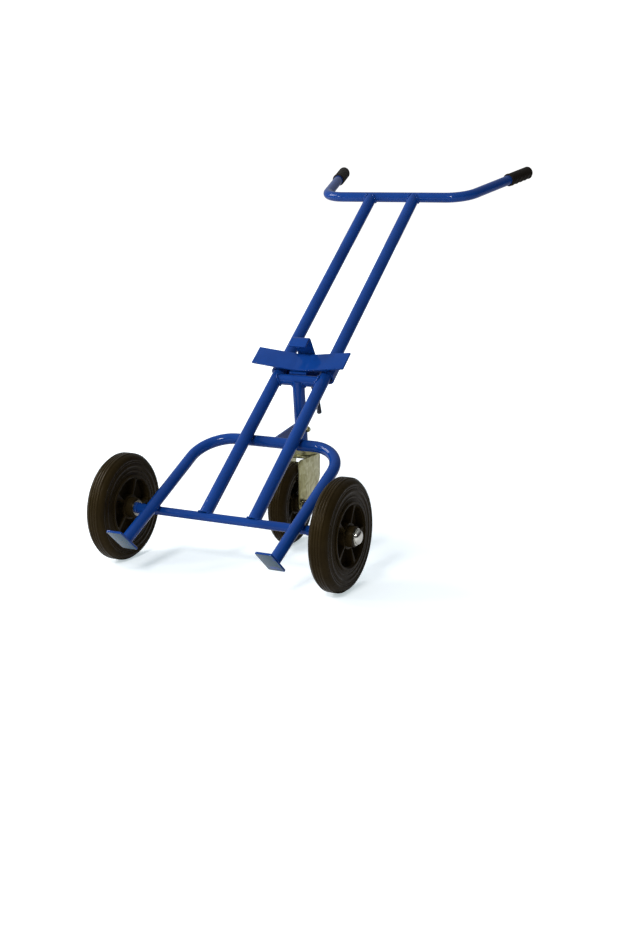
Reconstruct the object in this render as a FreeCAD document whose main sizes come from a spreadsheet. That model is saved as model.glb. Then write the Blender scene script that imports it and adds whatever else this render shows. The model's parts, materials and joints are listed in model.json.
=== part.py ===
import FreeCAD, Part
import math
import os
import re

# Drum trolley: two big wheels, a leaning tube frame, a sliding chime hook and a swivel castor behind.
# Lengths in millimetres, angles in degrees. The floor is Z = 0, the handles point to +Y.
SIZES = {
    # Main wheels and axle
    "wheel_diameter": 250,
    "wheel_spacing": 560,
    "axle_diameter": 20,
    "tyre_width": 46,
    "tyre_seat": 146,
    "tyre_shoulder": 15,
    "groove_width": 2.4,
    "groove_depth": 2.2,
    "groove_spacing": 24,
    "rim_width": 51,
    "rim_wall": 8,
    "web_thickness": 46,
    "spoke_count": 5,
    "pocket_angle": 64,
    "pocket_start_angle": 5,
    "pocket_wall": 6,
    "pocket_floor": 5,
    "hub_diameter": 48,
    "hub_length": 70,
    "bearing_diameter": 32,
    "bearing_length": 66,
    "sleeve_diameter": 22.6,
    "collar_diameter": 26,
    "collar_length": 4,
    "washer_diameter": 37,
    "washer_thickness": 2.5,
    "cap_diameter": 38,
    "cap_depth": 10,
    "cap_wall": 2,
    "cap_rounding": 6,
    # Uprights, cross tube and handlebar
    "upright_tube": 30,
    "upright_spacing": 126,
    "upright_length": 1138,
    "upright_angle": 52.5,
    "upright_foot": 4,
    "upright_ear": 3.5,
    "tube_wall": 2,
    "cross_tube": 27,
    "cross_height": 437,
    "handle_tube": 26.6,
    "handle_width": 412,
    "handle_bend": 70,
    "arm_length": 312,
    "arm_flare_angle": 14.9,
    "arm_rise_angle": 12.9,
    "grip_length": 102,
    "grip_wall": 3.2,
    "grip_end": 4,
    "grip_rounding": 6,
    "grip_collar": 36.5,
    "grip_collar_length": 4,
    "grip_collar_rounding": 1.5,
    "notch_diameter": 22,
    "notch_depth": 2.2,
    "notch_spacing": 21,
    "notch_start": 17,
    "notch_count": 4,
    # Lower loop and foot plates
    "loop_tube": 26.6,
    "loop_spacing": 372,
    "loop_angle": 63.85,
    "loop_bend": 85,
    "plate_width": 40,
    "plate_length": 80,
    "plate_thickness": 5,
    "plate_tilt_angle": 40.4,
    "plate_clearance": 3,
    "plate_offset": 12,
    "plate_corner": 4,
    # Castor post, gusset and cross bolt
    "post_tube": 30,
    "post_offset": 5,
    "post_foot_height": 236,
    "castor_offset": 13.3,
    "gusset_thickness": 5,
    "gusset_reach": 7,
    "gusset_lift": 11,
    "gusset_drop": 8,
    "gusset_top": 57,
    "gusset_foot": 2,
    "socket_length": 52,
    "stem_diameter": 16,
    "stem_height": 46,
    "bolt_diameter": 8,
    "bolt_height": 35,
    "bolt_flats": 13,
    "bolt_head": 5.5,
    "bolt_nut": 6.5,
    "bolt_tail": 3,
    # Castor
    "castor_diameter": 200,
    "castor_width": 46,
    "castor_seat": 126,
    "castor_shoulder": 17,
    "castor_trail": 68,
    "castor_angle": 4,
    "castor_rim_width": 34,
    "castor_hub": 44,
    "castor_hub_length": 50,
    "castor_web": 31,
    "castor_bearing": 26,
    "castor_bearing_length": 46,
    "castor_axle": 12,
    "castor_axle_flats": 19,
    "castor_axle_head": 7.5,
    "castor_axle_nut": 10,
    "castor_axle_tail": 3,
    "spacer_diameter": 22,
    "fork_gap": 60,
    "fork_sheet": 4,
    "fork_front": 82,
    "fork_back": 35,
    "fork_foot": 84,
    "fork_heel": 46,
    "fork_knee": 142,
    "fork_crown": 206,
    "fork_crown_sheet": 6,
    "fork_crown_reach": 46,
    "fork_rounding": 13,
    "head_diameter": 80,
    "head_height": 16,
    "head_rounding": 5,
    "flange_diameter": 54,
    "ball_diameter": 8,
    "ball_circle": 58,
    "ball_count": 16,
    "rivet_diameter": 26,
    "rivet_height": 6,
    # Sliding carriage, saddle, hook and clamp
    "band_lift": 20,
    "band_height": 43,
    "band_sheet": 4.5,
    "band_fit": 0.5,
    "saddle_span": 248,
    "saddle_height": 54,
    "saddle_drop": 2.5,
    "saddle_flat": 30,
    "saddle_slope_angle": 8.3,
    "saddle_sheet": 5,
    "saddle_bend": 60,
    "hook_width": 46,
    "hook_offset": 4,
    "hook_sheet": 5,
    "hook_arm": 54,
    "hook_rise_angle": 4,
    "hook_reach": 71,
    "hook_lip": 31,
    "hook_lip_angle": 7,
    "hook_bend": 7,
    "clamp_sheet": 5,
    "clamp_length": 134,
    "clamp_width": 40,
    "clamp_corner": 6,
    "clamp_travel": 0.875,
    "clamp_room": 1,
    "screw_diameter": 12,
    "screw_length": 77,
    "screw_handle": 61,
    "screw_bend": 14,
    "screw_turn_angle": 28,
    "screw_lift": 2.5,
    "nut_flats": 19,
    "nut_height": 10,
    # Fits
    "run_fit": 0.05,
    "side_gap": 0.4,
    "overrun": 5,
}

doc = FreeCAD.newDocument("drum_trolley")
sheet = doc.addObject("Spreadsheet::Sheet", "Sizes")
for row, (alias, number) in enumerate(SIZES.items(), start=1):
    sheet.set("A%d" % row, alias)
    sheet.set("B%d" % row, str(number))
    sheet.setAlias("B%d" % row, alias)
doc.recompute()

WORD = re.compile(r"\b[a-z][a-z_]*\b")
FUNCTIONS = ("sin", "cos", "sqrt", "abs")
AXES = {
    "x": FreeCAD.Rotation(FreeCAD.Vector(0, 1, 0), 90),
    "y": FreeCAD.Rotation(FreeCAD.Vector(1, 0, 0), -90),
    "z": FreeCAD.Rotation(),
}
SIDES = {"left": -1, "right": 1}
# Two directions whose cosine is above this count as parallel.
PARALLEL = 0.9999
parts = {}


# An expression text with every size name pointing at its cell.
def linked(text):
    return WORD.sub(lambda hit: hit.group() if hit.group() in FUNCTIONS else "Sizes." + hit.group(), text)


# The number that an expression text stands for.
def value(text):
    return float(sheet.evalExpression(linked(text)))


def bind(thing, **texts):
    for name, text in texts.items():
        thing.setExpression(name, linked(text))


def bind_base(thing, base):
    for letter, text in zip("xyz", base):
        if text != "0":
            thing.setExpression("Placement.Base." + letter, linked(text))


# A round bar along x, y or z whose middle or start lies at base.
def bar(diameter, length, base=("0", "0", "0"), axis="z", centred=False, turn=None):
    thing = doc.addObject("Part::Cylinder", "bar")
    bind(thing, Radius="(%s) / 2" % diameter, Height=length)
    base = list(base)
    if centred:
        place = "xyz".index(axis)
        base[place] = "%s - (%s) / 2" % (base[place], length)
    thing.Placement = FreeCAD.Placement(FreeCAD.Vector(), turn or AXES[axis])
    bind_base(thing, base)
    return thing


# A box centred on x and starting at the given y and z.
def slab(width, depth, height, base=("0", "0", "0")):
    thing = doc.addObject("Part::Box", "slab")
    bind(thing, Length=width, Width=depth, Height=height)
    bind_base(thing, ["%s - (%s) / 2" % (base[0], width), base[1], base[2]])
    return thing


# A hexagon along x, y or z given by its width across flats.
def hexagon(flats, length, base=("0", "0", "0"), axis="z"):
    thing = doc.addObject("Part::Prism", "hexagon")
    thing.Polygon = 6
    bind(thing, Circumradius="(%s) / sqrt(3)" % flats, Height=length)
    thing.Placement = FreeCAD.Placement(FreeCAD.Vector(), AXES[axis])
    bind_base(thing, base)
    return thing


def cut(base, *tools):
    for tool in tools:
        thing = doc.addObject("Part::Cut", "cut")
        thing.Base = base
        thing.Tool = tool
        base = thing
    return base


def fuse(*things):
    thing = doc.addObject("Part::MultiFuse", "fuse")
    thing.Shapes = list(things)
    return thing


# A ring is a bar with a bore through it.
def ring(outer, inner, length, base=("0", "0", "0"), axis="z", centred=False):
    body = bar(outer, length, base, axis, centred)
    through = list(base)
    place = "xyz".index(axis)
    through[place] = "%s - overrun" % base[place] if not centred else base[place]
    bore = bar(inner, "%s + 2 * overrun" % length, through, axis, centred)
    return cut(body, bore)


# Rounds the edges that the test picks, by the radius text.
def rounded(thing, radius, picks):
    doc.recompute()
    chosen = [number for number, edge in enumerate(thing.Shape.Edges, start=1) if picks(edge)]
    result = doc.addObject("Part::Fillet", "rounded")
    result.Base = thing
    result.Edges = [(number, value(radius), value(radius)) for number in chosen]
    return result


def is_circle(edge):
    return isinstance(edge.Curve, Part.Circle)


# A test for straight edges along x, y or z.
def runs_along(axis):
    direction = AXES[axis].multVec(FreeCAD.Vector(0, 0, 1))

    def picks(edge):
        return isinstance(edge.Curve, Part.Line) and abs(edge.Curve.Direction.dot(direction)) > PARALLEL
    return picks


# The centre line of a bent bar: straight runs joined by arcs of one radius.
def centre_line(points, radius):
    edges = []
    start = points[0]
    for before, corner, after in zip(points, points[1:], points[2:]):
        back = (before - corner).normalize()
        ahead = (after - corner).normalize()
        half = back.getAngle(ahead) / 2
        reach = radius / math.tan(half)
        middle = (back + ahead).normalize()
        crown = corner + middle * (radius / math.sin(half) - radius)
        edges.append(Part.LineSegment(start, corner + back * reach).toShape())
        edges.append(Part.Arc(corner + back * reach, crown, corner + ahead * reach).toShape())
        start = corner + ahead * reach
    edges.append(Part.LineSegment(start, points[-1]).toShape())
    line = doc.addObject("Part::Feature", "centre_line")
    line.Shape = Part.Wire(edges)
    return line


def sweep(line, section):
    thing = doc.addObject("Part::Sweep", "sweep")
    thing.Sections = [section]
    thing.Spine = (line, ["Edge%d" % number for number in range(1, len(line.Shape.Edges) + 1)])
    thing.Solid = True
    thing.Frenet = True
    return thing


# A round section of the given diameter at the start of the points.
def round_section(diameter, points):
    section = doc.addObject("Part::Circle", "section")
    bind(section, Radius="(%s) / 2" % diameter)
    turn = FreeCAD.Rotation(FreeCAD.Vector(0, 0, 1), points[1] - points[0])
    section.Placement = FreeCAD.Placement(points[0], turn)
    return section


def bent_rod(points, radius, diameter):
    return sweep(centre_line(points, radius), round_section(diameter, points))


def bent_tube(points, radius, diameter, bore):
    return cut(bent_rod(points, radius, diameter), bent_rod(points, radius, bore))


# A flat strip bent along the points; across is the direction of its width.
def bent_strip(points, radius, width, sheet_text, across):
    section = doc.addObject("Part::Plane", "section")
    bind(section, Length=width, Width=sheet_text)
    along = (points[1] - points[0]).normalize()
    turn = FreeCAD.Rotation(across, along.cross(across), along, "ZXY")
    corner = points[0] - across * (value(width) / 2) - along.cross(across) * (value(sheet_text) / 2)
    section.Placement = FreeCAD.Placement(corner, turn)
    return sweep(centre_line(points, radius), section)


# A flat plate cut to an outline in the Y Z plane, centred on x.
def outline_plate(corners, thickness, start):
    outline = doc.addObject("Part::Polygon", "outline")
    outline.Nodes = [FreeCAD.Vector(0, y, z) for y, z in corners]
    outline.Close = True
    thing = doc.addObject("Part::Extrusion", "plate")
    thing.Base = outline
    thing.DirMode = "Custom"
    thing.Dir = FreeCAD.Vector(1, 0, 0)
    thing.Solid = True
    bind(thing, LengthFwd=thickness)
    bind_base(thing, [start, "0", "0"])
    return thing


def group(*things):
    thing = doc.addObject("Part::Compound", "group")
    thing.Links = list(things)
    return thing


# The local frames: each sub-part is drawn in one of these.
AXLE = FreeCAD.Vector(0, 0, value("wheel_diameter / 2"))


def leaning(angle):
    return FreeCAD.Placement(AXLE, FreeCAD.Rotation(FreeCAD.Vector(1, 0, 0), -value(angle)))


GROUND = FreeCAD.Placement()
UPRIGHT = leaning("upright_angle")
LOOP = leaning("loop_angle")
PLATE = leaning("plate_tilt_angle")
HANDLE = FreeCAD.Placement(
    UPRIGHT.multVec(FreeCAD.Vector(0, 0, value("upright_length"))),
    FreeCAD.Rotation(FreeCAD.Vector(1, 0, 0), value("arm_rise_angle")),
)
# The castor's swivel axis stands a set distance behind the cross tube.
RAIL_BACK = "(cross_height * sin(upright_angle))"
RAIL_HEIGHT = "(wheel_diameter / 2 + cross_height * cos(upright_angle))"
CASTOR_BACK = "(%s + castor_offset)" % RAIL_BACK
CASTOR = FreeCAD.Placement(
    FreeCAD.Vector(0, value(CASTOR_BACK), 0),
    FreeCAD.Rotation(FreeCAD.Vector(0, 0, 1), value("castor_angle")),
)


def finished(name, thing, frame):
    thing.Label = name
    parts[name] = (thing, frame)
    return thing


# Axle and the fixed pieces on it
HUB_INNER = "wheel_spacing / 2 - hub_length / 2"
HUB_OUTER = "wheel_spacing / 2 + hub_length / 2"
CAP_START = HUB_OUTER + " + side_gap + washer_thickness"
LOOP_SIDE = "loop_spacing / 2 + loop_tube / 2"
SLEEVE_LENGTH = "%s - side_gap - washer_thickness - (%s) - side_gap" % (HUB_INNER, LOOP_SIDE)
AXLE_LENGTH = "2 * (%s + cap_depth - cap_wall)" % CAP_START
finished("axle_bar", bar("axle_diameter", AXLE_LENGTH, axis="x", centred=True), UPRIGHT)
washers = []
for side, sign in SIDES.items():
    sleeve_start = LOOP_SIDE + " + side_gap"
    collar_start = HUB_INNER + " - side_gap - washer_thickness - collar_length"
    cap_start = CAP_START
    washer_starts = [HUB_INNER + " - side_gap - washer_thickness", HUB_OUTER + " + side_gap"]
    if sign < 0:
        sleeve_start = "-(%s) - (%s)" % (sleeve_start, SLEEVE_LENGTH)
        collar_start = "-(%s) - collar_length" % collar_start
        cap_start = "-(%s) - cap_depth" % cap_start
        washer_starts = ["-(%s) - washer_thickness" % text for text in washer_starts]
    barrel = bar("sleeve_diameter", SLEEVE_LENGTH, [sleeve_start, "0", "0"], "x")
    collar = bar("collar_diameter", "collar_length", [collar_start, "0", "0"], "x")
    through = bar("axle_diameter", AXLE_LENGTH, axis="x", centred=True)
    finished(side + "_axle_sleeve", cut(fuse(barrel, collar), through), UPRIGHT)
    for start in washer_starts:
        washers.append(ring("washer_diameter", "axle_diameter", "washer_thickness", [start, "0", "0"], "x"))
    dome = bar("cap_diameter", "cap_depth", [cap_start, "0", "0"], "x")
    outer_face = sign * value(CAP_START + " + cap_depth / 2")
    dome = rounded(
        dome,
        "cap_rounding",
        lambda edge: is_circle(edge) and sign * (edge.Curve.Center.x - outer_face) > 0,
    )
    seat = bar("axle_diameter", AXLE_LENGTH, axis="x", centred=True)
    finished(side + "_axle_cap", cut(dome, seat), UPRIGHT)
finished("axle_washers", group(*washers), UPRIGHT)

# Uprights, notched over the axle and round the handlebar
for side, sign in SIDES.items():
    across = "%d * upright_spacing / 2" % sign
    body = bar("upright_tube", "upright_length - upright_foot - upright_ear", [across, "0", "upright_foot"])
    hollow = bar("upright_tube - 2 * tube_wall", "upright_length", [across, "0", "0"])
    axle_notch = bar("axle_diameter", "wheel_spacing", axis="x", centred=True)
    handle_notch = bar("handle_tube", "handle_width", ["0", "0", "upright_length"], "x", True)
    finished(side + "_upright", cut(body, hollow, axle_notch, handle_notch), UPRIGHT)

# Upper cross tube between the uprights
RAIL_BORE = "cross_tube - 2 * tube_wall"
rail = ring("cross_tube", RAIL_BORE, "upright_spacing", ["0", "0", "cross_height"], "x", True)
saddles = []
for sign in SIDES.values():
    saddles.append(bar("upright_tube", "upright_length", ["%d * upright_spacing / 2" % sign, "0", "0"]))
finished("upper_cross_tube", cut(rail, *saddles), UPRIGHT)

# Handlebar: one tube bent into a wide U
flare = math.radians(value("arm_flare_angle"))
arm_way = FreeCAD.Vector(math.sin(flare), math.cos(flare), 0)
corner = FreeCAD.Vector(value("handle_width / 2"), 0, 0)
tip = corner + arm_way * value("arm_length - grip_end")
mirrored = [FreeCAD.Vector(-point.x, point.y, point.z) for point in (tip, corner)]
bar_points = [mirrored[0], mirrored[1], corner, tip]
HANDLE_BORE = "handle_tube - 2 * tube_wall"
finished("handlebar", bent_tube(bar_points, value("handle_bend"), "handle_tube", HANDLE_BORE), HANDLE)

# Grips with a closed round end, a mouth collar and finger notches underneath
for side, sign in SIDES.items():
    body = bar("handle_tube + 2 * grip_wall", "grip_length", ["0", "0", "-grip_length"])
    body = rounded(
        body,
        "grip_rounding",
        lambda edge: is_circle(edge) and edge.Curve.Center.z > -value("grip_end"),
    )
    notches = []
    for number in range(int(value("notch_count"))):
        low = "-(handle_tube / 2 + grip_wall) - notch_diameter / 2 + notch_depth"
        along = "-notch_start - %d * notch_spacing" % number
        notches.append(bar("notch_diameter", "grip_collar", ["0", low, along], "x", True))
    body = cut(body, *notches)
    mouth = bar("grip_collar", "grip_collar_length", ["0", "0", "-grip_length"])
    mouth = rounded(mouth, "grip_collar_rounding", is_circle)
    hollow = bar("handle_tube", "grip_length", ["0", "0", "-grip_length - grip_end"])
    way = FreeCAD.Vector(sign * arm_way.x, arm_way.y, arm_way.z)
    up = FreeCAD.Vector(0, 0, 1)
    end = FreeCAD.Vector(sign * corner.x, corner.y, corner.z) + way * value("arm_length")
    seat = FreeCAD.Placement(end, FreeCAD.Rotation(up.cross(way), up, way, "ZXY"))
    finished(side + "_grip", cut(fuse(body, mouth), hollow), HANDLE.multiply(seat))

# Lower loop: one tube bent into a U, its legs over the axle and its crosspiece behind the uprights
LEG_LIFT = "(loop_tube + axle_diameter) / 2"
SPREAD = "loop_angle - upright_angle"
LOOP_REACH = "((upright_tube + loop_tube) / 2 + %s * cos(%s)) / sin(%s)" % (LEG_LIFT, SPREAD, SPREAD)
lift = -value(LEG_LIFT)
reach = value(LOOP_REACH)
half = value("loop_spacing / 2")
toe = -value("wheel_diameter")
loop_points = [
    FreeCAD.Vector(-half, lift, toe),
    FreeCAD.Vector(-half, lift, reach),
    FreeCAD.Vector(half, lift, reach),
    FreeCAD.Vector(half, lift, toe),
]
loop = bent_tube(loop_points, value("loop_bend"), "loop_tube", "loop_tube - 2 * tube_wall")
PLATE_UNDER = "wheel_diameter / 2 - plate_clearance"
PLATE_TOP = "%s - plate_thickness" % PLATE_UNDER
below = slab("wheel_spacing", "2 * wheel_diameter", "2 * wheel_diameter")
TILT = "loop_angle - plate_tilt_angle"
below.Placement.Rotation = FreeCAD.Rotation(FreeCAD.Vector(1, 0, 0), value(TILT))
BELOW_DROP = "(2 * wheel_diameter + %s)" % PLATE_TOP
bind_base(below, [
    "-wheel_spacing / 2",
    "%s * sin(%s) - wheel_diameter * cos(%s)" % (BELOW_DROP, TILT, TILT),
    "-%s * cos(%s) - wheel_diameter * sin(%s)" % (BELOW_DROP, TILT, TILT),
])
finished("lower_loop", cut(loop, below), LOOP)

# Foot plates across the ends of the legs
LEG_END = "((%s) + %s * sin(%s)) / cos(%s)" % (PLATE_TOP, LEG_LIFT, TILT, TILT)
PLATE_MIDDLE = "-(%s * cos(%s) + (%s) * sin(%s)) - plate_offset" % (LEG_LIFT, TILT, LEG_END, TILT)
for side, sign in SIDES.items():
    base = ["%d * loop_spacing / 2" % sign, PLATE_MIDDLE + " - plate_length / 2", "-(%s)" % PLATE_UNDER]
    plate = slab("plate_width", "plate_length", "plate_thickness", base)
    finished(side + "_foot_plate", rounded(plate, "plate_corner", runs_along("z")), PLATE)

# Castor post hanging from the cross tube, ending level above the castor
POST_SLOPE = "((castor_offset + post_offset) / (%s - post_foot_height))" % RAIL_HEIGHT
POST_TURN = FreeCAD.Rotation(FreeCAD.Vector(1, 0, 0), math.degrees(math.atan(value(POST_SLOPE))))
POST_RUN = "(%s - post_foot_height + post_tube) * sqrt(1 + %s * %s)" % (RAIL_HEIGHT, POST_SLOPE, POST_SLOPE)
POST_BORE = "post_tube - 2 * tube_wall"
BOLT_BACK = "%s - bolt_height * %s" % (CASTOR_BACK, POST_SLOPE)
BOLT_LEVEL = "post_foot_height + bolt_height"


# A bar on the post's axis that starts one tube diameter below the post's foot.
def post_bar(diameter, length):
    start = ["0", "%s + post_tube * %s" % (CASTOR_BACK, POST_SLOPE), "post_foot_height - post_tube"]
    return bar(diameter, length, start, turn=POST_TURN)


# The space under the post's level foot.
def under_post():
    base = ["0", CASTOR_BACK + " - post_tube", "post_foot_height - 2 * post_tube"]
    return slab("2 * post_tube", "2 * post_tube", "2 * post_tube", base)


# A bar on the cross bolt's axis.
def bolt_bar():
    return bar("bolt_diameter", "4 * post_tube", ["0", BOLT_BACK, BOLT_LEVEL], "x", True)


# A bar on the castor's swivel axis.
def swivel_bar(diameter, length, height):
    return bar(diameter, length, ["0", CASTOR_BACK, height])


post = cut(
    post_bar("post_tube", POST_RUN),
    post_bar(POST_BORE, POST_RUN),
    bar("cross_tube", "upright_spacing", ["0", RAIL_BACK, RAIL_HEIGHT], "x", True),
    under_post(),
    bolt_bar(),
)
finished("castor_post", post, GROUND)

# Gusset between the loop's crosspiece and the castor post
LOOP_BACK = "(%s * sin(loop_angle) - %s * cos(loop_angle))" % (LOOP_REACH, LEG_LIFT)
LOOP_HEIGHT = "(wheel_diameter / 2 + %s * cos(loop_angle) + %s * sin(loop_angle))" % (LOOP_REACH, LEG_LIFT)
gusset_corners = [
    (value(LOOP_BACK + " - gusset_reach"), value(LOOP_HEIGHT + " + gusset_lift")),
    (value("%s - gusset_top * %s" % (CASTOR_BACK, POST_SLOPE)), value("post_foot_height + gusset_top")),
    (value(CASTOR_BACK), value("post_foot_height + gusset_foot")),
    (value(LOOP_BACK + " + gusset_drop"), value(LOOP_HEIGHT + " - gusset_drop")),
]
gusset = cut(
    outline_plate(gusset_corners, "gusset_thickness", "-gusset_thickness / 2"),
    bar("loop_tube", "loop_spacing", ["0", LOOP_BACK, LOOP_HEIGHT], "x", True),
    post_bar("post_tube", POST_RUN),
)
finished("castor_gusset", gusset, GROUND)

# Stem socket inside the post, and the cross bolt through post, socket and stem
socket = cut(
    post_bar(POST_BORE, "post_tube + socket_length"),
    under_post(),
    swivel_bar("stem_diameter", "stem_height + overrun", "post_foot_height - overrun"),
    bolt_bar(),
)
finished("castor_socket", socket, GROUND)
BOLT_START = "-post_tube / 2 - bolt_head"
BOLT_LENGTH = "post_tube + bolt_head + bolt_nut + bolt_tail"
bolt = fuse(
    bar("bolt_diameter", BOLT_LENGTH, [BOLT_START, BOLT_BACK, BOLT_LEVEL], "x"),
    hexagon("bolt_flats", "bolt_head", [BOLT_START, BOLT_BACK, BOLT_LEVEL], "x"),
)
finished("castor_cross_bolt", bolt, GROUND)
bolt_nut = hexagon("bolt_flats", "bolt_nut", ["post_tube / 2", BOLT_BACK, BOLT_LEVEL], "x")
finished("castor_cross_nut", cut(bolt_nut, bolt_bar()), GROUND)

# Castor head: the stem with its flange and rivet and the ball cup stay with the frame
CROWN_TOP = "(fork_crown + fork_crown_sheet)"
CUP_BASE = "(%s + side_gap)" % CROWN_TOP
CUP_TOP = "(%s + head_height)" % CUP_BASE
RIVET_TOP = "(fork_crown - side_gap)"
BALL_LEVEL = "%s + side_gap / 2" % CROWN_TOP
STEM_LENGTH = "post_foot_height + stem_height - %s + rivet_height" % RIVET_TOP
stem = fuse(
    swivel_bar("stem_diameter", STEM_LENGTH, RIVET_TOP + " - rivet_height"),
    swivel_bar("flange_diameter", "post_foot_height - " + CUP_TOP, CUP_TOP),
    swivel_bar("rivet_diameter", "rivet_height", RIVET_TOP + " - rivet_height"),
)
finished("castor_stem", cut(stem, bolt_bar()), GROUND)


# The ball track: a round groove on the ball circle.
def ball_track(back):
    track = doc.addObject("Part::Torus", "track")
    bind(track, Radius1="ball_circle / 2", Radius2="ball_diameter / 2 + side_gap")
    bind_base(track, ["0", back, BALL_LEVEL])
    return track


cup = rounded(
    swivel_bar("head_diameter", "head_height", CUP_BASE),
    "head_rounding",
    lambda edge: is_circle(edge) and edge.Curve.Center.z > value(CUP_BASE),
)
cup_bore = swivel_bar("stem_diameter", "head_height + 2 * overrun", CUP_BASE + " - overrun")
finished("castor_ball_cup", cut(cup, cup_bore, ball_track(CASTOR_BACK)), GROUND)

# Castor fork: two legs and a crown of pressed sheet, drawn about the swivel axis
leg_corners = [
    (-value("fork_front"), value("fork_foot")),
    (-value("fork_front"), value(CROWN_TOP)),
    (value("fork_back"), value(CROWN_TOP)),
    (value("fork_back"), value("fork_knee")),
    (-value("fork_heel"), value("fork_foot")),
]
fork_pieces = []
for sign in SIDES.values():
    start = "fork_gap / 2" if sign > 0 else "-fork_gap / 2 - fork_sheet"
    leg = outline_plate(leg_corners, "fork_sheet", start)
    fork_pieces.append(rounded(leg, "fork_rounding", runs_along("x")))
CROWN_DEPTH = "fork_crown_reach + fork_back - fork_rounding"
crown_base = ["0", "-fork_crown_reach", "fork_crown"]
fork_pieces.append(slab("fork_gap + fork_sheet", CROWN_DEPTH, "fork_crown_sheet", crown_base))
fork_pieces.append(bar("head_diameter", "fork_crown_sheet", ["0", "0", "fork_crown"]))
fork = cut(
    fuse(*fork_pieces),
    bar(
        "stem_diameter + 2 * run_fit",
        "fork_crown_sheet + 2 * overrun",
        ["0", "0", "fork_crown - overrun"],
    ),
    bar("castor_axle", "4 * fork_gap", ["0", "-castor_trail", "castor_diameter / 2"], "x", True),
    ball_track("0"),
)
finished("castor_fork", fork, CASTOR)

# Balls lying in the crown's groove
balls = []
for number in range(int(value("ball_count"))):
    ball = doc.addObject("Part::Sphere", "ball")
    bind(ball, Radius="ball_diameter / 2")
    angle = "360 / ball_count * %d" % number
    bind_base(ball, [
        "ball_circle / 2 * cos(%s)" % angle,
        "ball_circle / 2 * sin(%s)" % angle,
        BALL_LEVEL + " - side_gap",
    ])
    balls.append(ball)
finished("castor_balls", group(*balls), CASTOR)

# Castor axle: bolt, nut and a spacer on each side of the hub
AXLE_AT = ["0", "-castor_trail", "castor_diameter / 2"]
FORK_SIDE = "(fork_gap / 2 + fork_sheet)"
AXLE_RUN = "2 * %s + castor_axle_head + castor_axle_nut + castor_axle_tail" % FORK_SIDE
bolt_start = ["-%s - castor_axle_head" % FORK_SIDE] + AXLE_AT[1:]
axle_bolt = fuse(
    bar("castor_axle", AXLE_RUN, bolt_start, "x"),
    hexagon("castor_axle_flats", "castor_axle_head", bolt_start, "x"),
)
finished("castor_axle_bolt", axle_bolt, CASTOR)
axle_nut = hexagon("castor_axle_flats", "castor_axle_nut", [FORK_SIDE] + AXLE_AT[1:], "x")
axle_hole = bar("castor_axle", "4 * fork_gap", AXLE_AT, "x", True)
finished("castor_axle_nut", cut(axle_nut, axle_hole), CASTOR)
SPACER_LENGTH = "fork_gap / 2 - castor_hub_length / 2 - side_gap"
spacers = []
for sign in SIDES.values():
    start = "castor_hub_length / 2 + side_gap" if sign > 0 else "-fork_gap / 2"
    spacers.append(ring("spacer_diameter", "castor_axle", SPACER_LENGTH, [start] + AXLE_AT[1:], "x"))
finished("castor_spacers", group(*spacers), CASTOR)


# A rubber tyre about the x axis with rounded shoulders and tread grooves.
def tyre(outer, seat, width, shoulder, centre, grooves):
    body = rounded(bar(outer, width, centre, "x", True), shoulder, is_circle)
    tools = [bar(seat, width + " + 2 * overrun", centre, "x", True)]
    for place in grooves:
        base = ["%s + (%s)" % (centre[0], place)] + list(centre[1:])
        floor = outer + " - 2 * groove_depth"
        tools.append(ring(outer + " + 2 * overrun", floor, "groove_width", base, "x", True))
    return cut(body, *tools)


# A moulded wheel centre: seat ring, deep spokes with closed pockets between them, and hub.
def wheel_centre(seat, seat_width, web, hub, hub_length, bore, centre):
    seat_ring = ring(seat, seat + " - 2 * rim_wall", seat_width, centre, "x", True)
    disc = bar(seat + " - rim_wall", web, centre, "x", True)
    barrel = bar(hub, hub_length, centre, "x", True)
    tools = [bar(bore, hub_length + " + 2 * overrun", centre, "x", True)]
    for number in range(int(value("spoke_count"))):
        sector = bar(seat + " - 2 * rim_wall", web + " + 2 * overrun", centre, "x", True)
        bind(sector, Angle="pocket_angle")
        first = value("pocket_start_angle + 360 / spoke_count * %d" % number)
        sector.Placement.Rotation = AXES["x"].multiply(FreeCAD.Rotation(FreeCAD.Vector(0, 0, 1), first))
        core = bar(hub + " + 2 * pocket_wall", web + " + 4 * overrun", centre, "x", True)
        tools.append(cut(sector, core))
    floor = ring(seat + " - rim_wall", hub, "pocket_floor", centre, "x", True)
    return fuse(cut(fuse(seat_ring, disc, barrel), *tools), floor)


# Both main wheels: tyre, moulded centre and bearing sleeve
for side, sign in SIDES.items():
    centre = ["%d * wheel_spacing / 2" % sign, "0", "0"]
    grooves = ["groove_spacing / 2", "-groove_spacing / 2"]
    rubber = tyre("wheel_diameter", "tyre_seat", "tyre_width", "tyre_shoulder", centre, grooves)
    finished(side + "_tyre", rubber, UPRIGHT)
    moulding = wheel_centre(
        "tyre_seat", "rim_width", "web_thickness", "hub_diameter", "hub_length", "bearing_diameter", centre
    )
    finished(side + "_wheel_centre", moulding, UPRIGHT)
    bearing = ring("bearing_diameter", "axle_diameter + 2 * run_fit", "bearing_length", centre, "x", True)
    finished(side + "_bearing", bearing, UPRIGHT)

# Castor wheel
rubber = tyre("castor_diameter", "castor_seat", "castor_width", "castor_shoulder", AXLE_AT, ["0"])
finished("castor_tyre", rubber, CASTOR)
moulding = wheel_centre(
    "castor_seat", "castor_rim_width", "castor_web", "castor_hub", "castor_hub_length", "castor_bearing",
    AXLE_AT,
)
finished("castor_wheel_centre", moulding, CASTOR)
bearing = ring("castor_bearing", "castor_axle + 2 * run_fit", "castor_bearing_length", AXLE_AT, "x", True)
finished("castor_bearing", bearing, CASTOR)

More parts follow.
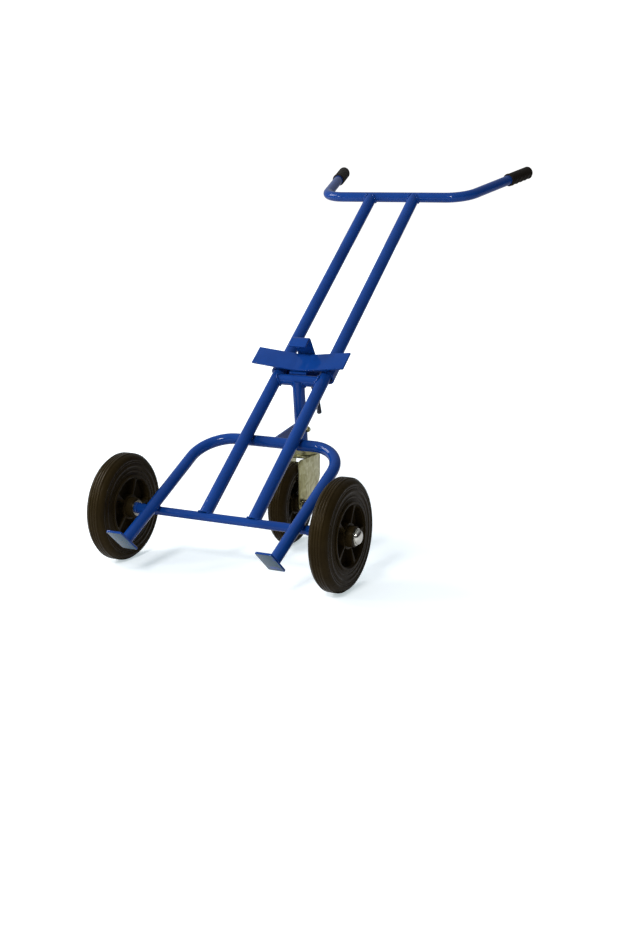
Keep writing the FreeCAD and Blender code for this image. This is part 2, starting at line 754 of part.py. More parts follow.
# Sliding carriage: a band round both uprights with room for the clamp plate at the back
BAND_BASE = "(cross_height + band_lift)"
INNER_FRONT = "(upright_tube / 2 + band_fit)"
INNER_BACK = "(upright_tube / 2 + 2 * side_gap + clamp_sheet + clamp_travel + clamp_room)"
OUTER_WIDTH = "upright_spacing + 2 * %s + 2 * band_sheet" % INNER_FRONT
OUTER_DEPTH = "%s + %s + 2 * band_sheet" % (INNER_FRONT, INNER_BACK)
outer = slab(OUTER_WIDTH, OUTER_DEPTH, "band_height", ["0", "-%s - band_sheet" % INNER_FRONT, BAND_BASE])
outer = rounded(outer, INNER_FRONT + " + band_sheet", runs_along("z"))
inner_base = ["0", "-" + INNER_FRONT, BAND_BASE + " - overrun"]
INNER_DEPTH = "%s + %s" % (INNER_FRONT, INNER_BACK)
inner = slab(OUTER_WIDTH + " - 2 * band_sheet", INNER_DEPTH, "band_height + 2 * overrun", inner_base)
inner = rounded(inner, INNER_FRONT, runs_along("z"))
BAND_MIDDLE = "(%s + band_height / 2)" % BAND_BASE
SCREW_LEVEL = "(%s + screw_lift)" % BAND_MIDDLE
screw_hole = bar("screw_diameter + 2 * run_fit", "2 * upright_tube", ["0", "0", SCREW_LEVEL], "y")
finished("carriage_band", cut(outer, inner, screw_hole), UPRIGHT)
nut_base = ["0", "%s + band_sheet" % INNER_BACK, SCREW_LEVEL]
clamp_nut = hexagon("nut_flats", "nut_height", nut_base, "y")
nut_bore = bar("screw_diameter + 2 * run_fit", "4 * upright_tube", ["0", "0", SCREW_LEVEL], "y")
finished("clamp_nut", cut(clamp_nut, nut_bore), UPRIGHT)

# Saddle: a flat bar bent to a shallow V on the front of the band
slope = math.radians(value("saddle_slope_angle"))
middle_y = -value("%s + band_sheet + saddle_sheet / 2" % INNER_FRONT)
flat = value("saddle_flat / 2")
end_x = value("saddle_span / 2")
end_y = middle_y - (end_x - flat) * math.tan(slope)
level = value(BAND_MIDDLE + " - saddle_drop")
saddle_points = [
    FreeCAD.Vector(-end_x, end_y, level),
    FreeCAD.Vector(-flat, middle_y, level),
    FreeCAD.Vector(flat, middle_y, level),
    FreeCAD.Vector(end_x, end_y, level),
]
upwards = FreeCAD.Vector(0, 0, 1)
saddle = bent_strip(saddle_points, value("saddle_bend"), "saddle_height", "saddle_sheet", upwards)
finished("saddle_bar", saddle, UPRIGHT)

# Chime hook: a flat bar that stands on the cross tube, reaches over the front strap and turns down
HOOK_INNER = "(%s - hook_sheet)" % INNER_FRONT
RAIL_BULGE = "sqrt(abs(cross_tube * cross_tube / 4 - %s * %s))" % (HOOK_INNER, HOOK_INNER)
HOOK_FOOT = "cross_height + %s + side_gap" % RAIL_BULGE
leg_y = -value(INNER_FRONT + " - hook_sheet / 2")
arm_z = value(BAND_BASE + " + hook_arm")
rise = math.radians(value("hook_rise_angle"))
lip_lean = math.radians(value("hook_lip_angle"))
hook_x = -value("hook_offset")
elbow = FreeCAD.Vector(hook_x, leg_y, arm_z)
nose = FreeCAD.Vector(hook_x, -value("hook_reach"), arm_z + (value("hook_reach") + leg_y) * math.tan(rise))
lip = nose + FreeCAD.Vector(0, math.sin(lip_lean), -math.cos(lip_lean)) * value("hook_lip")
hook_points = [FreeCAD.Vector(hook_x, leg_y, value(HOOK_FOOT)), elbow, nose, lip]
sideways = FreeCAD.Vector(1, 0, 0)
hook = bent_strip(hook_points, value("hook_bend"), "hook_width", "hook_sheet", sideways)
finished("chime_hook", hook, UPRIGHT)

# Clamp plate behind the uprights and the bent screw that presses it
PLATE_FRONT = "upright_tube / 2 + side_gap"
clamp_base = ["0", PLATE_FRONT, BAND_MIDDLE + " - clamp_width / 2"]
clamp = slab("clamp_length", "clamp_sheet", "clamp_width", clamp_base)
finished("clamp_plate", rounded(clamp, "clamp_corner", runs_along("y")), UPRIGHT)
turn = math.radians(value("screw_turn_angle"))
tip_y = value("%s + clamp_sheet + side_gap" % PLATE_FRONT)
elbow_y = tip_y + value("screw_length")
handle_way = FreeCAD.Vector(math.sin(turn), 0, -math.cos(turn))
screw_level = value(SCREW_LEVEL)
screw_points = [
    FreeCAD.Vector(0, tip_y, screw_level),
    FreeCAD.Vector(0, elbow_y, screw_level),
    FreeCAD.Vector(0, elbow_y, screw_level) + handle_way * value("screw_handle"),
]
finished("clamp_screw", bent_rod(screw_points, value("screw_bend"), "screw_diameter"), UPRIGHT)

# Every sub-part goes to its place, with the middle of the whole trolley's length at Y = 0
doc.recompute()
extent = FreeCAD.BoundBox()
for thing, frame in parts.values():
    placed = thing.Shape.copy()
    placed.Placement = frame.multiply(thing.Placement)
    extent.add(placed.optimalBoundingBox(False))
shift = FreeCAD.Placement(FreeCAD.Vector(0, -extent.Center.y, 0), FreeCAD.Rotation())
for thing, frame in parts.values():
    thing.Placement = shift.multiply(frame).multiply(thing.Placement)
doc.recompute()

for thing in doc.Objects:
    if "Invalid" in thing.State or "Error" in thing.State:
        raise RuntimeError("failed: " + thing.Label)
os.makedirs("parts", exist_ok=True)
for name, (thing, frame) in parts.items():
    shape = thing.Shape
    if shape.isNull() or not shape.isValid() or shape.Volume <= 0:
        raise RuntimeError("bad shape: " + name)
    shape.exportStep("parts/%s.step" % name)
print("shift", shift.Base.y, "parts", len(parts))
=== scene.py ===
import bpy
import bmesh
import json
import math
from mathutils import Matrix, Vector, noise


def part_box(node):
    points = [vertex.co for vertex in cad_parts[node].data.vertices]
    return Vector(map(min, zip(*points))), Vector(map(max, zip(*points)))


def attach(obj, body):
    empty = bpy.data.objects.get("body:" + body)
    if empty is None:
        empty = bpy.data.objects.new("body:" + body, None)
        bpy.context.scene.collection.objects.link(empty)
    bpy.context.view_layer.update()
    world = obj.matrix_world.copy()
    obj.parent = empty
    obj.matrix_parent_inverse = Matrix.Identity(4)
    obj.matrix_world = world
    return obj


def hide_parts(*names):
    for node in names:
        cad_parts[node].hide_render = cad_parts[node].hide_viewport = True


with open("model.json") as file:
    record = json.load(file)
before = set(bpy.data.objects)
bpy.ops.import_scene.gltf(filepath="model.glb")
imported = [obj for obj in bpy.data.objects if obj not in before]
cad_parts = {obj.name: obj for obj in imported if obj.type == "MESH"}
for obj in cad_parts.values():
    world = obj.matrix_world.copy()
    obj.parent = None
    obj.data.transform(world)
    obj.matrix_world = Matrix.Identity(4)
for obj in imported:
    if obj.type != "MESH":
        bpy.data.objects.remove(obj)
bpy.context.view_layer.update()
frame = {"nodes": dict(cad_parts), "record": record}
print("frame loaded,", len(frame["nodes"]), "nodes")

mm = 0.001
scene = bpy.context.scene
nodes = frame["nodes"]


def middleOf(nodeName):
    low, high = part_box(nodeName)
    return (low + high) / 2


# places that several pieces share: the axle, the leaning uprights, the castor
places = {"uprightLean": 52.5, "loopLean": 63.85, "plateTilt": 40.4, "armRise": 12.9, "uprightLength": 1138,
          "castorTurn": 4, "castorTrail": 68, "castorRadius": 100}
axleMiddle = middleOf("axle_bar")


def leaningFrame(degrees):
    return Matrix.Translation(axleMiddle) @ Matrix.Rotation(math.radians(-degrees), 4, "X")


uprightFrame = leaningFrame(places["uprightLean"])
loopFrame = leaningFrame(places["loopLean"])
handleFrame = (Matrix.Translation(uprightFrame @ Vector((0, 0, places["uprightLength"] * mm)))
               @ Matrix.Rotation(math.radians(places["armRise"]), 4, "X"))
swivelMiddle = middleOf("castor_ball_cup")
castorFrame = (Matrix.Translation((swivelMiddle.x, swivelMiddle.y, 0))
               @ Matrix.Rotation(math.radians(places["castorTurn"]), 4, "Z"))
castorAxle = castorFrame @ Matrix.Translation((0, -places["castorTrail"] * mm, places["castorRadius"] * mm))


# finishes

def newFinish(name):
    finish = bpy.data.materials.new(name)
    finish.use_nodes = True
    tree = finish.node_tree
    shader = tree.nodes["Principled BSDF"]
    coords = tree.nodes.new("ShaderNodeTexCoord")
    return finish, tree, shader, coords.outputs["Object"]


def speckle(tree, where, scale, detail=4.0, stretch=None, roughness=0.55, swirl=0.0):
    if stretch:
        mapping = tree.nodes.new("ShaderNodeMapping")
        mapping.inputs["Scale"].default_value = stretch
        tree.links.new(where, mapping.inputs["Vector"])
        where = mapping.outputs["Vector"]
    grain = tree.nodes.new("ShaderNodeTexNoise")
    grain.inputs["Scale"].default_value = scale
    grain.inputs["Detail"].default_value = detail
    grain.inputs["Roughness"].default_value = roughness
    grain.inputs["Distortion"].default_value = swirl
    tree.links.new(where, grain.inputs["Vector"])
    return grain.outputs["Fac"]


def ramp(tree, source, stops):
    node = tree.nodes.new("ShaderNodeValToRGB")
    marks = node.color_ramp.elements
    marks[0].position, marks[0].color = stops[0][0], (*stops[0][1], 1)
    marks[1].position, marks[1].color = stops[-1][0], (*stops[-1][1], 1)
    for place, colour in stops[1:-1]:
        mark = marks.new(place)
        mark.color = (*colour, 1)
    tree.links.new(source, node.inputs["Fac"])
    return node.outputs["Color"]


def spread(tree, source, low, high):
    node = tree.nodes.new("ShaderNodeMapRange")
    node.inputs["From Min"].default_value = 0.3
    node.inputs["From Max"].default_value = 0.7
    node.inputs["To Min"].default_value = low
    node.inputs["To Max"].default_value = high
    tree.links.new(source, node.inputs["Value"])
    return node.outputs["Result"]


def ripple(tree, shader, source, depth, strength, under=None):
    node = tree.nodes.new("ShaderNodeBump")
    node.inputs["Distance"].default_value = depth
    node.inputs["Strength"].default_value = strength
    tree.links.new(source, node.inputs["Height"])
    if under:
        tree.links.new(under, node.inputs["Normal"])
    tree.links.new(node.outputs["Normal"], shader.inputs["Normal"])
    return node.outputs["Normal"]


# paint rubbed off in patches on the faces that look one way; the paler grey-cyan there is partly wear and
# partly a painted reflection of the bright floor
def paintedFloorReflectionAndWear(tree, where, colour, wearAndReflection):
    facing = tree.nodes.new("ShaderNodeVectorMath")
    facing.operation = "DOT_PRODUCT"
    facing.inputs[1].default_value = wearAndReflection["toward"]
    tree.links.new(where.node.outputs["Normal"], facing.inputs[0])
    sole = ramp(tree, facing.outputs["Value"], [(0.9, (0, 0, 0)), (0.98, (1, 1, 1))])
    patches = ramp(tree, speckle(tree, where, wearAndReflection["patches"], 6), [(0.34, (0, 0, 0)), (0.44, (1, 1, 1))])
    both = tree.nodes.new("ShaderNodeMath")
    both.operation = "MULTIPLY"
    tree.links.new(sole, both.inputs[0])
    tree.links.new(patches, both.inputs[1])
    wearAndReflectionMix = tree.nodes.new("ShaderNodeMix")
    wearAndReflectionMix.data_type = "RGBA"
    tree.links.new(both.outputs["Value"], wearAndReflectionMix.inputs["Factor"])
    tree.links.new(colour, wearAndReflectionMix.inputs["A"])
    wearAndReflectionColour = ramp(tree, speckle(tree, where, wearAndReflection["grain"], 4), [(0.35, wearAndReflection["dark"]), (0.65, wearAndReflection["pale"])])
    tree.links.new(wearAndReflectionColour, wearAndReflectionMix.inputs["B"])
    return wearAndReflectionMix.outputs["Result"]


def paintFinish(name="bluePaint", wearAndReflection=None):
    look = {"deep": (0.0042, 0.037, 0.195), "body": (0.0052, 0.045, 0.232), "pale": (0.007, 0.053, 0.262),
            "cloud": 9, "patch": 38, "rough": (0.09, 0.15), "peel": 160, "peelDepth": 0.000012, "runs": 24,
            "runDepth": 0.00006, "strength": 0.2, "sheen": 0.21}
    finish, tree, shader, where = newFinish(name)
    cloud = speckle(tree, where, look["cloud"], 6)
    colour = ramp(tree, cloud, [(0.3, look["deep"]), (0.5, look["body"]), (0.72, look["pale"])])
    # paler grey-cyan patches on faces that look one way: worn paint, and a painted reflection of the floor
    if wearAndReflection:
        colour = paintedFloorReflectionAndWear(tree, where, colour, wearAndReflection)
    tree.links.new(colour, shader.inputs["Base Color"])
    patches = speckle(tree, where, look["patch"], 5)
    tree.links.new(spread(tree, patches, *look["rough"]), shader.inputs["Roughness"])
    runs = ripple(tree, shader, speckle(tree, where, look["runs"], 2), look["runDepth"], look["strength"])
    ripple(tree, shader, speckle(tree, where, look["peel"], 1), look["peelDepth"], look["strength"], runs)
    shader.inputs["Specular IOR Level"].default_value = look["sheen"]
    return finish


def rubberFinish(name, dark, pale, rough, grain):
    look = {"cloud": 14, "patch": 60, "waves": 60, "waveDepth": 0.00025, "waveStrength": 0.2,
            "grainDepth": 0.00005, "grainStrength": 0.4, "sheen": 0.06, "sheenTint": (1.0, 0.82, 0.58, 1)}
    finish, tree, shader, where = newFinish(name)
    cloud = speckle(tree, where, look["cloud"], 7, roughness=0.65)
    tree.links.new(ramp(tree, cloud, [(0.3, dark), (0.75, pale)]), shader.inputs["Base Color"])
    patches = speckle(tree, where, look["patch"], 6)
    tree.links.new(spread(tree, patches, *rough), shader.inputs["Roughness"])
    waves = ripple(tree, shader, speckle(tree, where, look["waves"], 3), look["waveDepth"],
                   look["waveStrength"])
    ripple(tree, shader, speckle(tree, where, grain, 3), look["grainDepth"], look["grainStrength"], waves)
    shader.inputs["Specular IOR Level"].default_value = look["sheen"]
    shader.inputs["Specular Tint"].default_value = look["sheenTint"]
    return finish


def metalFinish(name, dark, pale, rough, streak, streakDepth, stain=None):
    look = {"cloud": 26, "stainCloud": 36, "stainSwirl": 1.4, "patch": 48, "streakStrength": 0.35,
            "drips": (70, 62, 9), "dripSwirl": 0.7, "dripShare": 0.65, "dripDark": (0.5, 0.42, 0.27),
            "dripPale": (0.92, 0.9, 0.84)}
    finish, tree, shader, where = newFinish(name)
    size, swirl = (look["stainCloud"], look["stainSwirl"]) if stain else (look["cloud"], 0.0)
    cloud = speckle(tree, where, size, 7, roughness=0.6, swirl=swirl)
    stops = [(0.32, dark), (0.7, pale)]
    if stain:
        stops = [(0.3, stain), (0.45, dark), (0.66, pale)]
    colour = ramp(tree, cloud, stops)
    if stain:
        runs = tree.nodes.new("ShaderNodeMix")
        runs.data_type = "RGBA"
        runs.blend_type = "MULTIPLY"
        runs.inputs["Factor"].default_value = look["dripShare"]
        tree.links.new(colour, runs.inputs["A"])
        drips = speckle(tree, where, 1, 5, stretch=look["drips"], swirl=look["dripSwirl"])
        marks = ramp(tree, drips, [(0.34, look["dripDark"]), (0.46, look["dripPale"]), (0.6, (1, 1, 1))])
        tree.links.new(marks, runs.inputs["B"])
        colour = runs.outputs["Result"]
    tree.links.new(colour, shader.inputs["Base Color"])
    patches = speckle(tree, where, look["patch"], 6)
    tree.links.new(spread(tree, patches, *rough), shader.inputs["Roughness"])
    ripple(tree, shader, speckle(tree, where, 1, 4, stretch=streak), streakDepth, look["streakStrength"])
    shader.inputs["Metallic"].default_value = 1.0
    return finish


finishes = {
    "blue_paint": paintFinish(),
    "tyre_rubber": rubberFinish("tyreRubber", (0.0163, 0.0107, 0.0036), (0.0265, 0.0178, 0.0064),
                                (0.24, 0.36), 620),
    "black_plastic": rubberFinish("blackPlastic", (0.0165, 0.011, 0.0036), (0.026, 0.0176, 0.0064),
                                  (0.32, 0.44), 900),
    "grip_rubber": rubberFinish("gripRubber", (0.011, 0.0085, 0.006), (0.02, 0.016, 0.0125), (0.34, 0.48),
                                1100),
    "bearing_bronze": metalFinish("bearingBronze", (0.3, 0.19, 0.075), (0.46, 0.31, 0.14), (0.3, 0.45),
                                  (60, 900, 900), 0.00008),
    "bright_zinc": metalFinish("brightZinc", (0.6, 0.585, 0.52), (0.78, 0.765, 0.69), (0.1, 0.2),
                               (300, 300, 90), 0.00004),
    "yellow_zinc": metalFinish("yellowZinc", (0.4, 0.382, 0.195), (0.61, 0.6, 0.39), (0.26, 0.42),
                               (420, 420, 22), 0.0002, stain=(0.27, 0.245, 0.125)),
    "dark_steel": metalFinish("darkSteel", (0.03, 0.032, 0.045), (0.075, 0.08, 0.1), (0.3, 0.45),
                              (300, 300, 60), 0.00006),
}
nodeSlots = {part["node"]: part["material_slot"] for part in frame["record"]["subparts"]}
for nodeName, thing in nodes.items():
    thing.data.materials.clear()
    thing.data.materials.append(finishes[nodeSlots[nodeName]])
print("finishes on", len(nodeSlots), "nodes")


# shapes: each is a list of points and a list of faces

def joined(*shapes):
    points, faces = [], []
    for shapePoints, shapeFaces in shapes:
        start = len(points)
        points += [Vector(point) for point in shapePoints]
        faces += [[start + index for index in face] for face in shapeFaces]
    return points, faces


def placed(shape, place):
    return [place @ Vector(point) for point in shape[0]], shape[1]


def makePiece(name, shape, slotName, body, stands=(), sharp=38, finish=None):
    mesh = bpy.data.meshes.new(name)
    mesh.from_pydata([tuple(point) for point in shape[0]], [], shape[1])
    work = bmesh.new()
    work.from_mesh(mesh)
    bmesh.ops.remove_doubles(work, verts=work.verts, dist=0.000005)
    bmesh.ops.recalc_face_normals(work, faces=work.faces)
    work.to_mesh(mesh)
    work.free()
    mesh.shade_smooth()
    mesh.set_sharp_from_angle(angle=math.radians(sharp))
    mesh.materials.append(finish or finishes[slotName])
    piece = bpy.data.objects.new(name, mesh)
    scene.collection.objects.link(piece)
    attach(piece, body)
    if stands:
        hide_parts(*stands)
    return piece


# a closed outline with its corners eased by short curves
def eased(outline, radius, steps=4):
    result = []
    count = len(outline)
    for index, corner in enumerate(outline):
        here = Vector(corner)
        before = Vector(outline[index - 1]) - here
        after = Vector(outline[(index + 1) % count]) - here
        first = here + before.normalized() * min(radius, before.length * 0.45)
        last = here + after.normalized() * min(radius, after.length * 0.45)
        for step in range(steps + 1):
            part = step / steps
            result.append((1 - part) ** 2 * first + 2 * part * (1 - part) * here + part ** 2 * last)
    return result


# an outline of (x, radius) in millimetres turned about the x axis
def turned(outline, place, steps=144, closed=True):
    points, faces = [], []
    count = len(outline)
    for step in range(steps):
        angle = 2 * math.pi * step / steps
        for along, radius in outline:
            points.append(place @ (Vector((along, radius * math.cos(angle), radius * math.sin(angle))) * mm))
    for step in range(steps):
        here, there = step * count, (step + 1) % steps * count
        for index in range(count if closed else count - 1):
            after = (index + 1) % count
            faces.append([here + index, here + after, there + after, there + index])
    return points, faces


# a flat sheet with holes, its edges rounded, lying in x and y with its middle at z 0; millimetres
def cutSheet(outlines, thickness, easing):
    curve = bpy.data.curves.new("sheetOutline", "CURVE")
    curve.dimensions = "2D"
    curve.fill_mode = "BOTH"
    curve.extrude = (thickness / 2 - easing) * mm
    curve.bevel_depth = easing * mm
    curve.bevel_resolution = 2
    curve.offset = -easing * mm
    for outline in outlines:
        spline = curve.splines.new("POLY")
        spline.points.add(len(outline) - 1)
        for point, (across, along) in zip(spline.points, outline):
            point.co = (across * mm, along * mm, 0, 1)
        spline.use_cyclic_u = True
    holder = bpy.data.objects.new("sheetHolder", curve)
    scene.collection.objects.link(holder)
    bpy.context.view_layer.update()
    mesh = bpy.data.meshes.new_from_object(holder.evaluated_get(bpy.context.evaluated_depsgraph_get()))
    points = [vertex.co.copy() for vertex in mesh.vertices]
    faces = [list(face.vertices) for face in mesh.polygons]
    bpy.data.objects.remove(holder)
    bpy.data.meshes.remove(mesh)
    bpy.data.curves.remove(curve)
    return points, faces


# a line of straight runs with arcs at its corners
def bendLine(corners, radius, steps=10):
    line = [corners[0]]
    for before, here, after in zip(corners, corners[1:], corners[2:]):
        back, ahead = (before - here).normalized(), (after - here).normalized()
        half = back.angle(ahead) / 2
        reach = radius / math.tan(half)
        middle = here + (back + ahead).normalized() * (radius / math.sin(half))
        start = here + back * reach - middle
        turnWay = -back * radius
        sweep = math.pi - 2 * half
        for step in range(steps + 1):
            angle = sweep * step / steps
            line.append(middle + start * math.cos(angle) + turnWay * math.sin(angle))
    line.append(corners[-1])
    return line


# a flat bar with rounded edges along a line; across is the direction of its width
def flatBar(line, across, width, thickness, easing):
    outline = eased([(-width / 2, -thickness / 2), (width / 2, -thickness / 2), (width / 2, thickness / 2),
                     (-width / 2, thickness / 2)], easing, 4)
    ways = []
    for index in range(len(line)):
        way = line[min(index + 1, len(line) - 1)] - line[max(index - 1, 0)]
        ways.append(way.normalized())
    stations = [(line[0], ways[0], easing), (line[0] + ways[0] * easing * 0.3, ways[0], easing * 0.3),
                (line[0] + ways[0] * easing, ways[0], 0)]
    stations += [(point, way, 0) for point, way in zip(line[1:-1], ways[1:-1])]
    stations += [(line[-1] - ways[-1] * easing, ways[-1], 0),
                 (line[-1] - ways[-1] * easing * 0.3, ways[-1], easing * 0.3), (line[-1], ways[-1], easing)]
    points, faces = [], []
    count = len(outline)
    for middle, way, inset in stations:
        normal = way.cross(across).normalized()
        wide, thick = 1 - 2 * inset / width, 1 - 2 * inset / thickness
        for flat, deep in outline:
            points.append((middle + across * flat * wide + normal * deep * thick) * mm)
    for row in range(len(stations) - 1):
        for index in range(count):
            after = (index + 1) % count
            faces.append([row * count + index, row * count + after, (row + 1) * count + after,
                          (row + 1) * count + index])
    faces.append(list(range(count)))
    faces.append(list(range(len(points) - count, len(points))))
    return points, faces


# a surface round the x axis whose radius depends on the place along it and the angle
def wrapped(stations, radiusAt, place, steps=96, capped=True):
    points, faces = [], []
    for along in stations:
        for step in range(steps):
            angle = 2 * math.pi * step / steps
            radius = radiusAt(along, angle)
            points.append(place @ (Vector((along, radius * math.cos(angle), radius * math.sin(angle))) * mm))
    for row in range(len(stations) - 1):
        for step in range(steps):
            after = (step + 1) % steps
            faces.append([row * steps + step, row * steps + after, (row + 1) * steps + after,
                          (row + 1) * steps + step])
    if capped:
        faces.append(list(range(steps)))
        faces.append(list(range(len(points) - steps, len(points))))
    return points, faces


# tyres: a raised tread band, round shoulders, a ring on the side wall and a hollow above the rim

mainTyre = {"radius": 125, "half": 23, "seat": 73, "shoulder": 15, "band": 12, "step": 1.5,
            "grooves": (6.3, 0), "grooveWide": 1.3, "grooveDeep": 0.9, "ringTop": 98, "ringFoot": 94,
            "hollow": 1.6, "rings": (79.5, 85), "fine": (103, 107.5)}
castorTyre = {"radius": 100, "half": 23, "seat": 63, "shoulder": 17, "band": 11, "step": 1.4,
              "grooves": (6, 0), "grooveWide": 1.6, "grooveDeep": 1.2, "ringTop": 80, "ringFoot": 76.5,
              "hollow": 1.4, "rings": (70,), "fine": (84,)}


def tyreOutline(size):
    radius, half, turn, band, step = (size[key] for key in ("radius", "half", "shoulder", "band", "step"))

    def shoulderAt(across):
        over = max(abs(across) - (half - turn), 0)
        return radius - turn + math.sqrt(max(turn ** 2 - over ** 2, 0))

    wall = half - size["hollow"]
    right = [(half - 5, size["seat"]), (half - 1.4, size["seat"]), (half - 0.7, size["seat"] + 0.8),
             (half - 0.5, size["seat"] + 2.4), (wall + 0.3, size["seat"] + 4.4)]
    for ring in size["rings"]:  # low ridges in the hollow
        right += [(wall, ring - 0.9), (wall + 0.6, ring - 0.3), (wall + 0.6, ring + 0.3), (wall, ring + 0.9)]
    right += [(wall + 0.1, size["ringFoot"] - 1), (wall + 0.5, size["ringFoot"]),
              (half - 0.5, size["ringFoot"] + 1), (half - 0.1, size["ringFoot"] + 1.8),
              (half - 0.1, size["ringTop"] - 1), (half - 0.5, size["ringTop"])]
    for fine in size["fine"]:
        right += [(half - 0.5, fine - 1.2), (half - 1.1, fine - 0.5), (half - 1.1, fine + 0.3),
                  (half - 0.4, fine + 1)]
    for number in range(1, 15):
        across = half - (half - band - 0.9) * (number / 14) ** 2
        right.append((across, shoulderAt(across) - step * min(1, number / 5)))
    edge = shoulderAt(band)
    right += [(band + 0.5, edge - step + 0.15), (band + 0.15, edge - step * 0.55), (band - 0.1, edge - 0.3),
              (band - 0.55, edge + 0.12), (band - 1.3, shoulderAt(band - 1.3))]
    wide, deep = size["grooveWide"] / 2, size["grooveDeep"]
    for groove in size["grooves"]:
        top = shoulderAt(groove)
        right += [(groove + wide + 0.35, top), (groove + wide, top - 0.25), (groove + wide - 0.3, top - deep)]
        if groove:
            right += [(groove - wide + 0.3, top - deep), (groove - wide, top - 0.25),
                      (groove - wide - 0.35, top)]
    left = [(-across, high) for across, high in reversed(right)]
    return right + left


def tyrePiece(name, size, place, body, stands):
    return makePiece(name, turned(tyreOutline(size), place, 180), "tyre_rubber", body, [stands], 58)


wheelPlaces = {side: Matrix.Translation(middleOf(side + "_tyre")) for side in ("left", "right")}
for side in ("left", "right"):
    tyrePiece(side + "TyreBody", mainTyre, wheelPlaces[side], side + "_wheel", side + "_tyre")
tyrePiece("castorTyreBody", castorTyre, castorAxle, "castor_wheel", "castor_tyre")
print("tyres moulded")


# wheel centres: flanged seat ring, deep spokes with closed pockets between them, and a long hub

mainCentre = {"seat": 73, "half": 25.5, "flange": 75.6, "inside": 69.4, "spokeHalf": 22.6, "floor": 2.5,
              "hub": 24, "hubHalf": 35, "bore": 16, "spokes": 5, "pocket": 64, "start": 5, "pocketIn": 29,
              "pocketOut": 67.4, "corner": 5}
castorCentre = {"seat": 63, "half": 17, "flange": 63, "inside": 58.6, "spokeHalf": 15, "floor": 2.5,
                "hub": 22, "hubHalf": 25, "bore": 13, "spokes": 5, "pocket": 64, "start": 5, "pocketIn": 27,
                "pocketOut": 57, "corner": 4}


def circleOutline(radius, steps=120):
    return [(radius * math.cos(2 * math.pi * step / steps), radius * math.sin(2 * math.pi * step / steps))
            for step in range(steps)]


# one pocket between two spokes
def pocketOutline(size, number):
    start = math.radians(size["start"] + 360 / size["spokes"] * number)
    end = start + math.radians(size["pocket"])
    corners = []
    for radius, first, last in ((size["pocketOut"], start, end), (size["pocketIn"], end, start)):
        for step in range(13):
            angle = first + (last - first) * step / 12
            corners.append(Vector((radius * math.cos(angle), radius * math.sin(angle))))
    result = []
    for index, here in enumerate(corners):
        if index not in (0, 12, 13, 25):
            result.append(here)
            continue
        before = corners[index - 1] - here
        after = corners[(index + 1) % len(corners)] - here
        first = here + before.normalized() * min(size["corner"], before.length * 0.8)
        last = here + after.normalized() * min(size["corner"], after.length * 0.8)
        for step in range(7):
            part = step / 6
            result.append((1 - part) ** 2 * first + 2 * part * (1 - part) * here + part ** 2 * last)
    return [tuple(point) for point in result]


def centrePiece(name, size, place, body, stands):
    keys = ("half", "seat", "flange", "inside", "hub", "hubHalf", "floor")
    half, seat, flange, inside, hub, hubHalf, floor = (size[key] for key in keys)
    side = [(half - 2.9, seat), (half - 2.3, flange - 0.7), (half - 1.6, flange), (half - 0.7, flange - 0.3),
            (half, flange - 1.3), (half, inside + 1.2), (half - 0.4, inside + 0.3), (half - 1.2, inside),
            (floor + 3, inside - 1.2), (floor + 0.8, inside - 2), (floor, inside - 3), (floor, hub + 7),
            (floor + 1, hub + 4), (floor + 5, hub + 1.2), (floor + 11, hub), (hubHalf - 4, hub - 1),
            (hubHalf - 1.6, hub - 1.4), (hubHalf - 0.4, hub - 2.4), (hubHalf, hub - 3.6),
            (hubHalf, size["bore"] + 0.8), (hubHalf - 0.8, size["bore"])]
    outline = [(-across, high) for across, high in reversed(side)] + side
    barrel = turned(outline, place, 144)
    lieFlat = place @ Matrix(((0, 0, 1, 0), (1, 0, 0, 0), (0, 1, 0, 0), (0, 0, 0, 1)))
    pockets = [pocketOutline(size, number) for number in range(size["spokes"])]
    spokes = cutSheet([circleOutline(inside - 0.2), circleOutline(hub - 3)] + pockets, size["spokeHalf"] * 2,
                      1.3)
    lean = size["spokeHalf"] * mm
    shaped = []
    for point in spokes[0]:
        reach = math.hypot(point.x, point.y) / mm
        # the spokes fall off towards the hub
        grow = 1 + 0.12 * (reach - size["pocketOut"]) / (size["pocketOut"] - size["pocketIn"])
        shaped.append(Vector((point.x, point.y, point.z * grow if abs(point.z) > lean * 0.5 else point.z)))
    return makePiece(name, joined(barrel, placed((shaped, spokes[1]), lieFlat)), "black_plastic", body,
                     [stands], 42)


for side in ("left", "right"):
    centrePiece(side + "WheelMoulding", mainCentre, wheelPlaces[side], side + "_wheel",
                side + "_wheel_centre")
centrePiece("castorWheelMoulding", castorCentre, castorAxle, "castor_wheel", "castor_wheel_centre")
print("wheel centres moulded")


# domed caps on the axle ends

axleCap = {"flange": 17.6, "flangeDeep": 1.6, "dome": 16.4, "rise": 10, "bore": 10.2}
for side, sign in (("left", -1), ("right", 1)):
    low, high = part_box(side + "_axle_cap")
    start = (low.x if sign > 0 else high.x) / mm
    outline = [(0, axleCap["bore"]), (0, axleCap["flange"] - 0.4), (0.3, axleCap["flange"]),
               (axleCap["flangeDeep"] - 0.3, axleCap["flange"]),
               (axleCap["flangeDeep"], axleCap["flange"] - 0.4),
               (axleCap["flangeDeep"] + 0.1, axleCap["dome"] + 0.3)]
    climb = axleCap["rise"] - axleCap["flangeDeep"]
    for step in range(25):
        angle = math.radians(90 * step / 24)
        outline.append((axleCap["flangeDeep"] + 0.1 + (climb - 0.1) * math.sin(angle) ** 0.9,
                        max(axleCap["dome"] * math.cos(angle) ** 0.85, 0.01)))
    outline = [(start + sign * along, radius) for along, radius in outline]
    axis = Matrix.Translation((0, axleMiddle.y, axleMiddle.z))
    makePiece(side + "CapDome", turned(outline, axis, 96, False), "bright_zinc", "frame",
              [side + "_axle_cap"], 60)
print("caps domed")


# grips: moulded rubber with finger hollows underneath, a mouth collar, fine rings and a rounded end

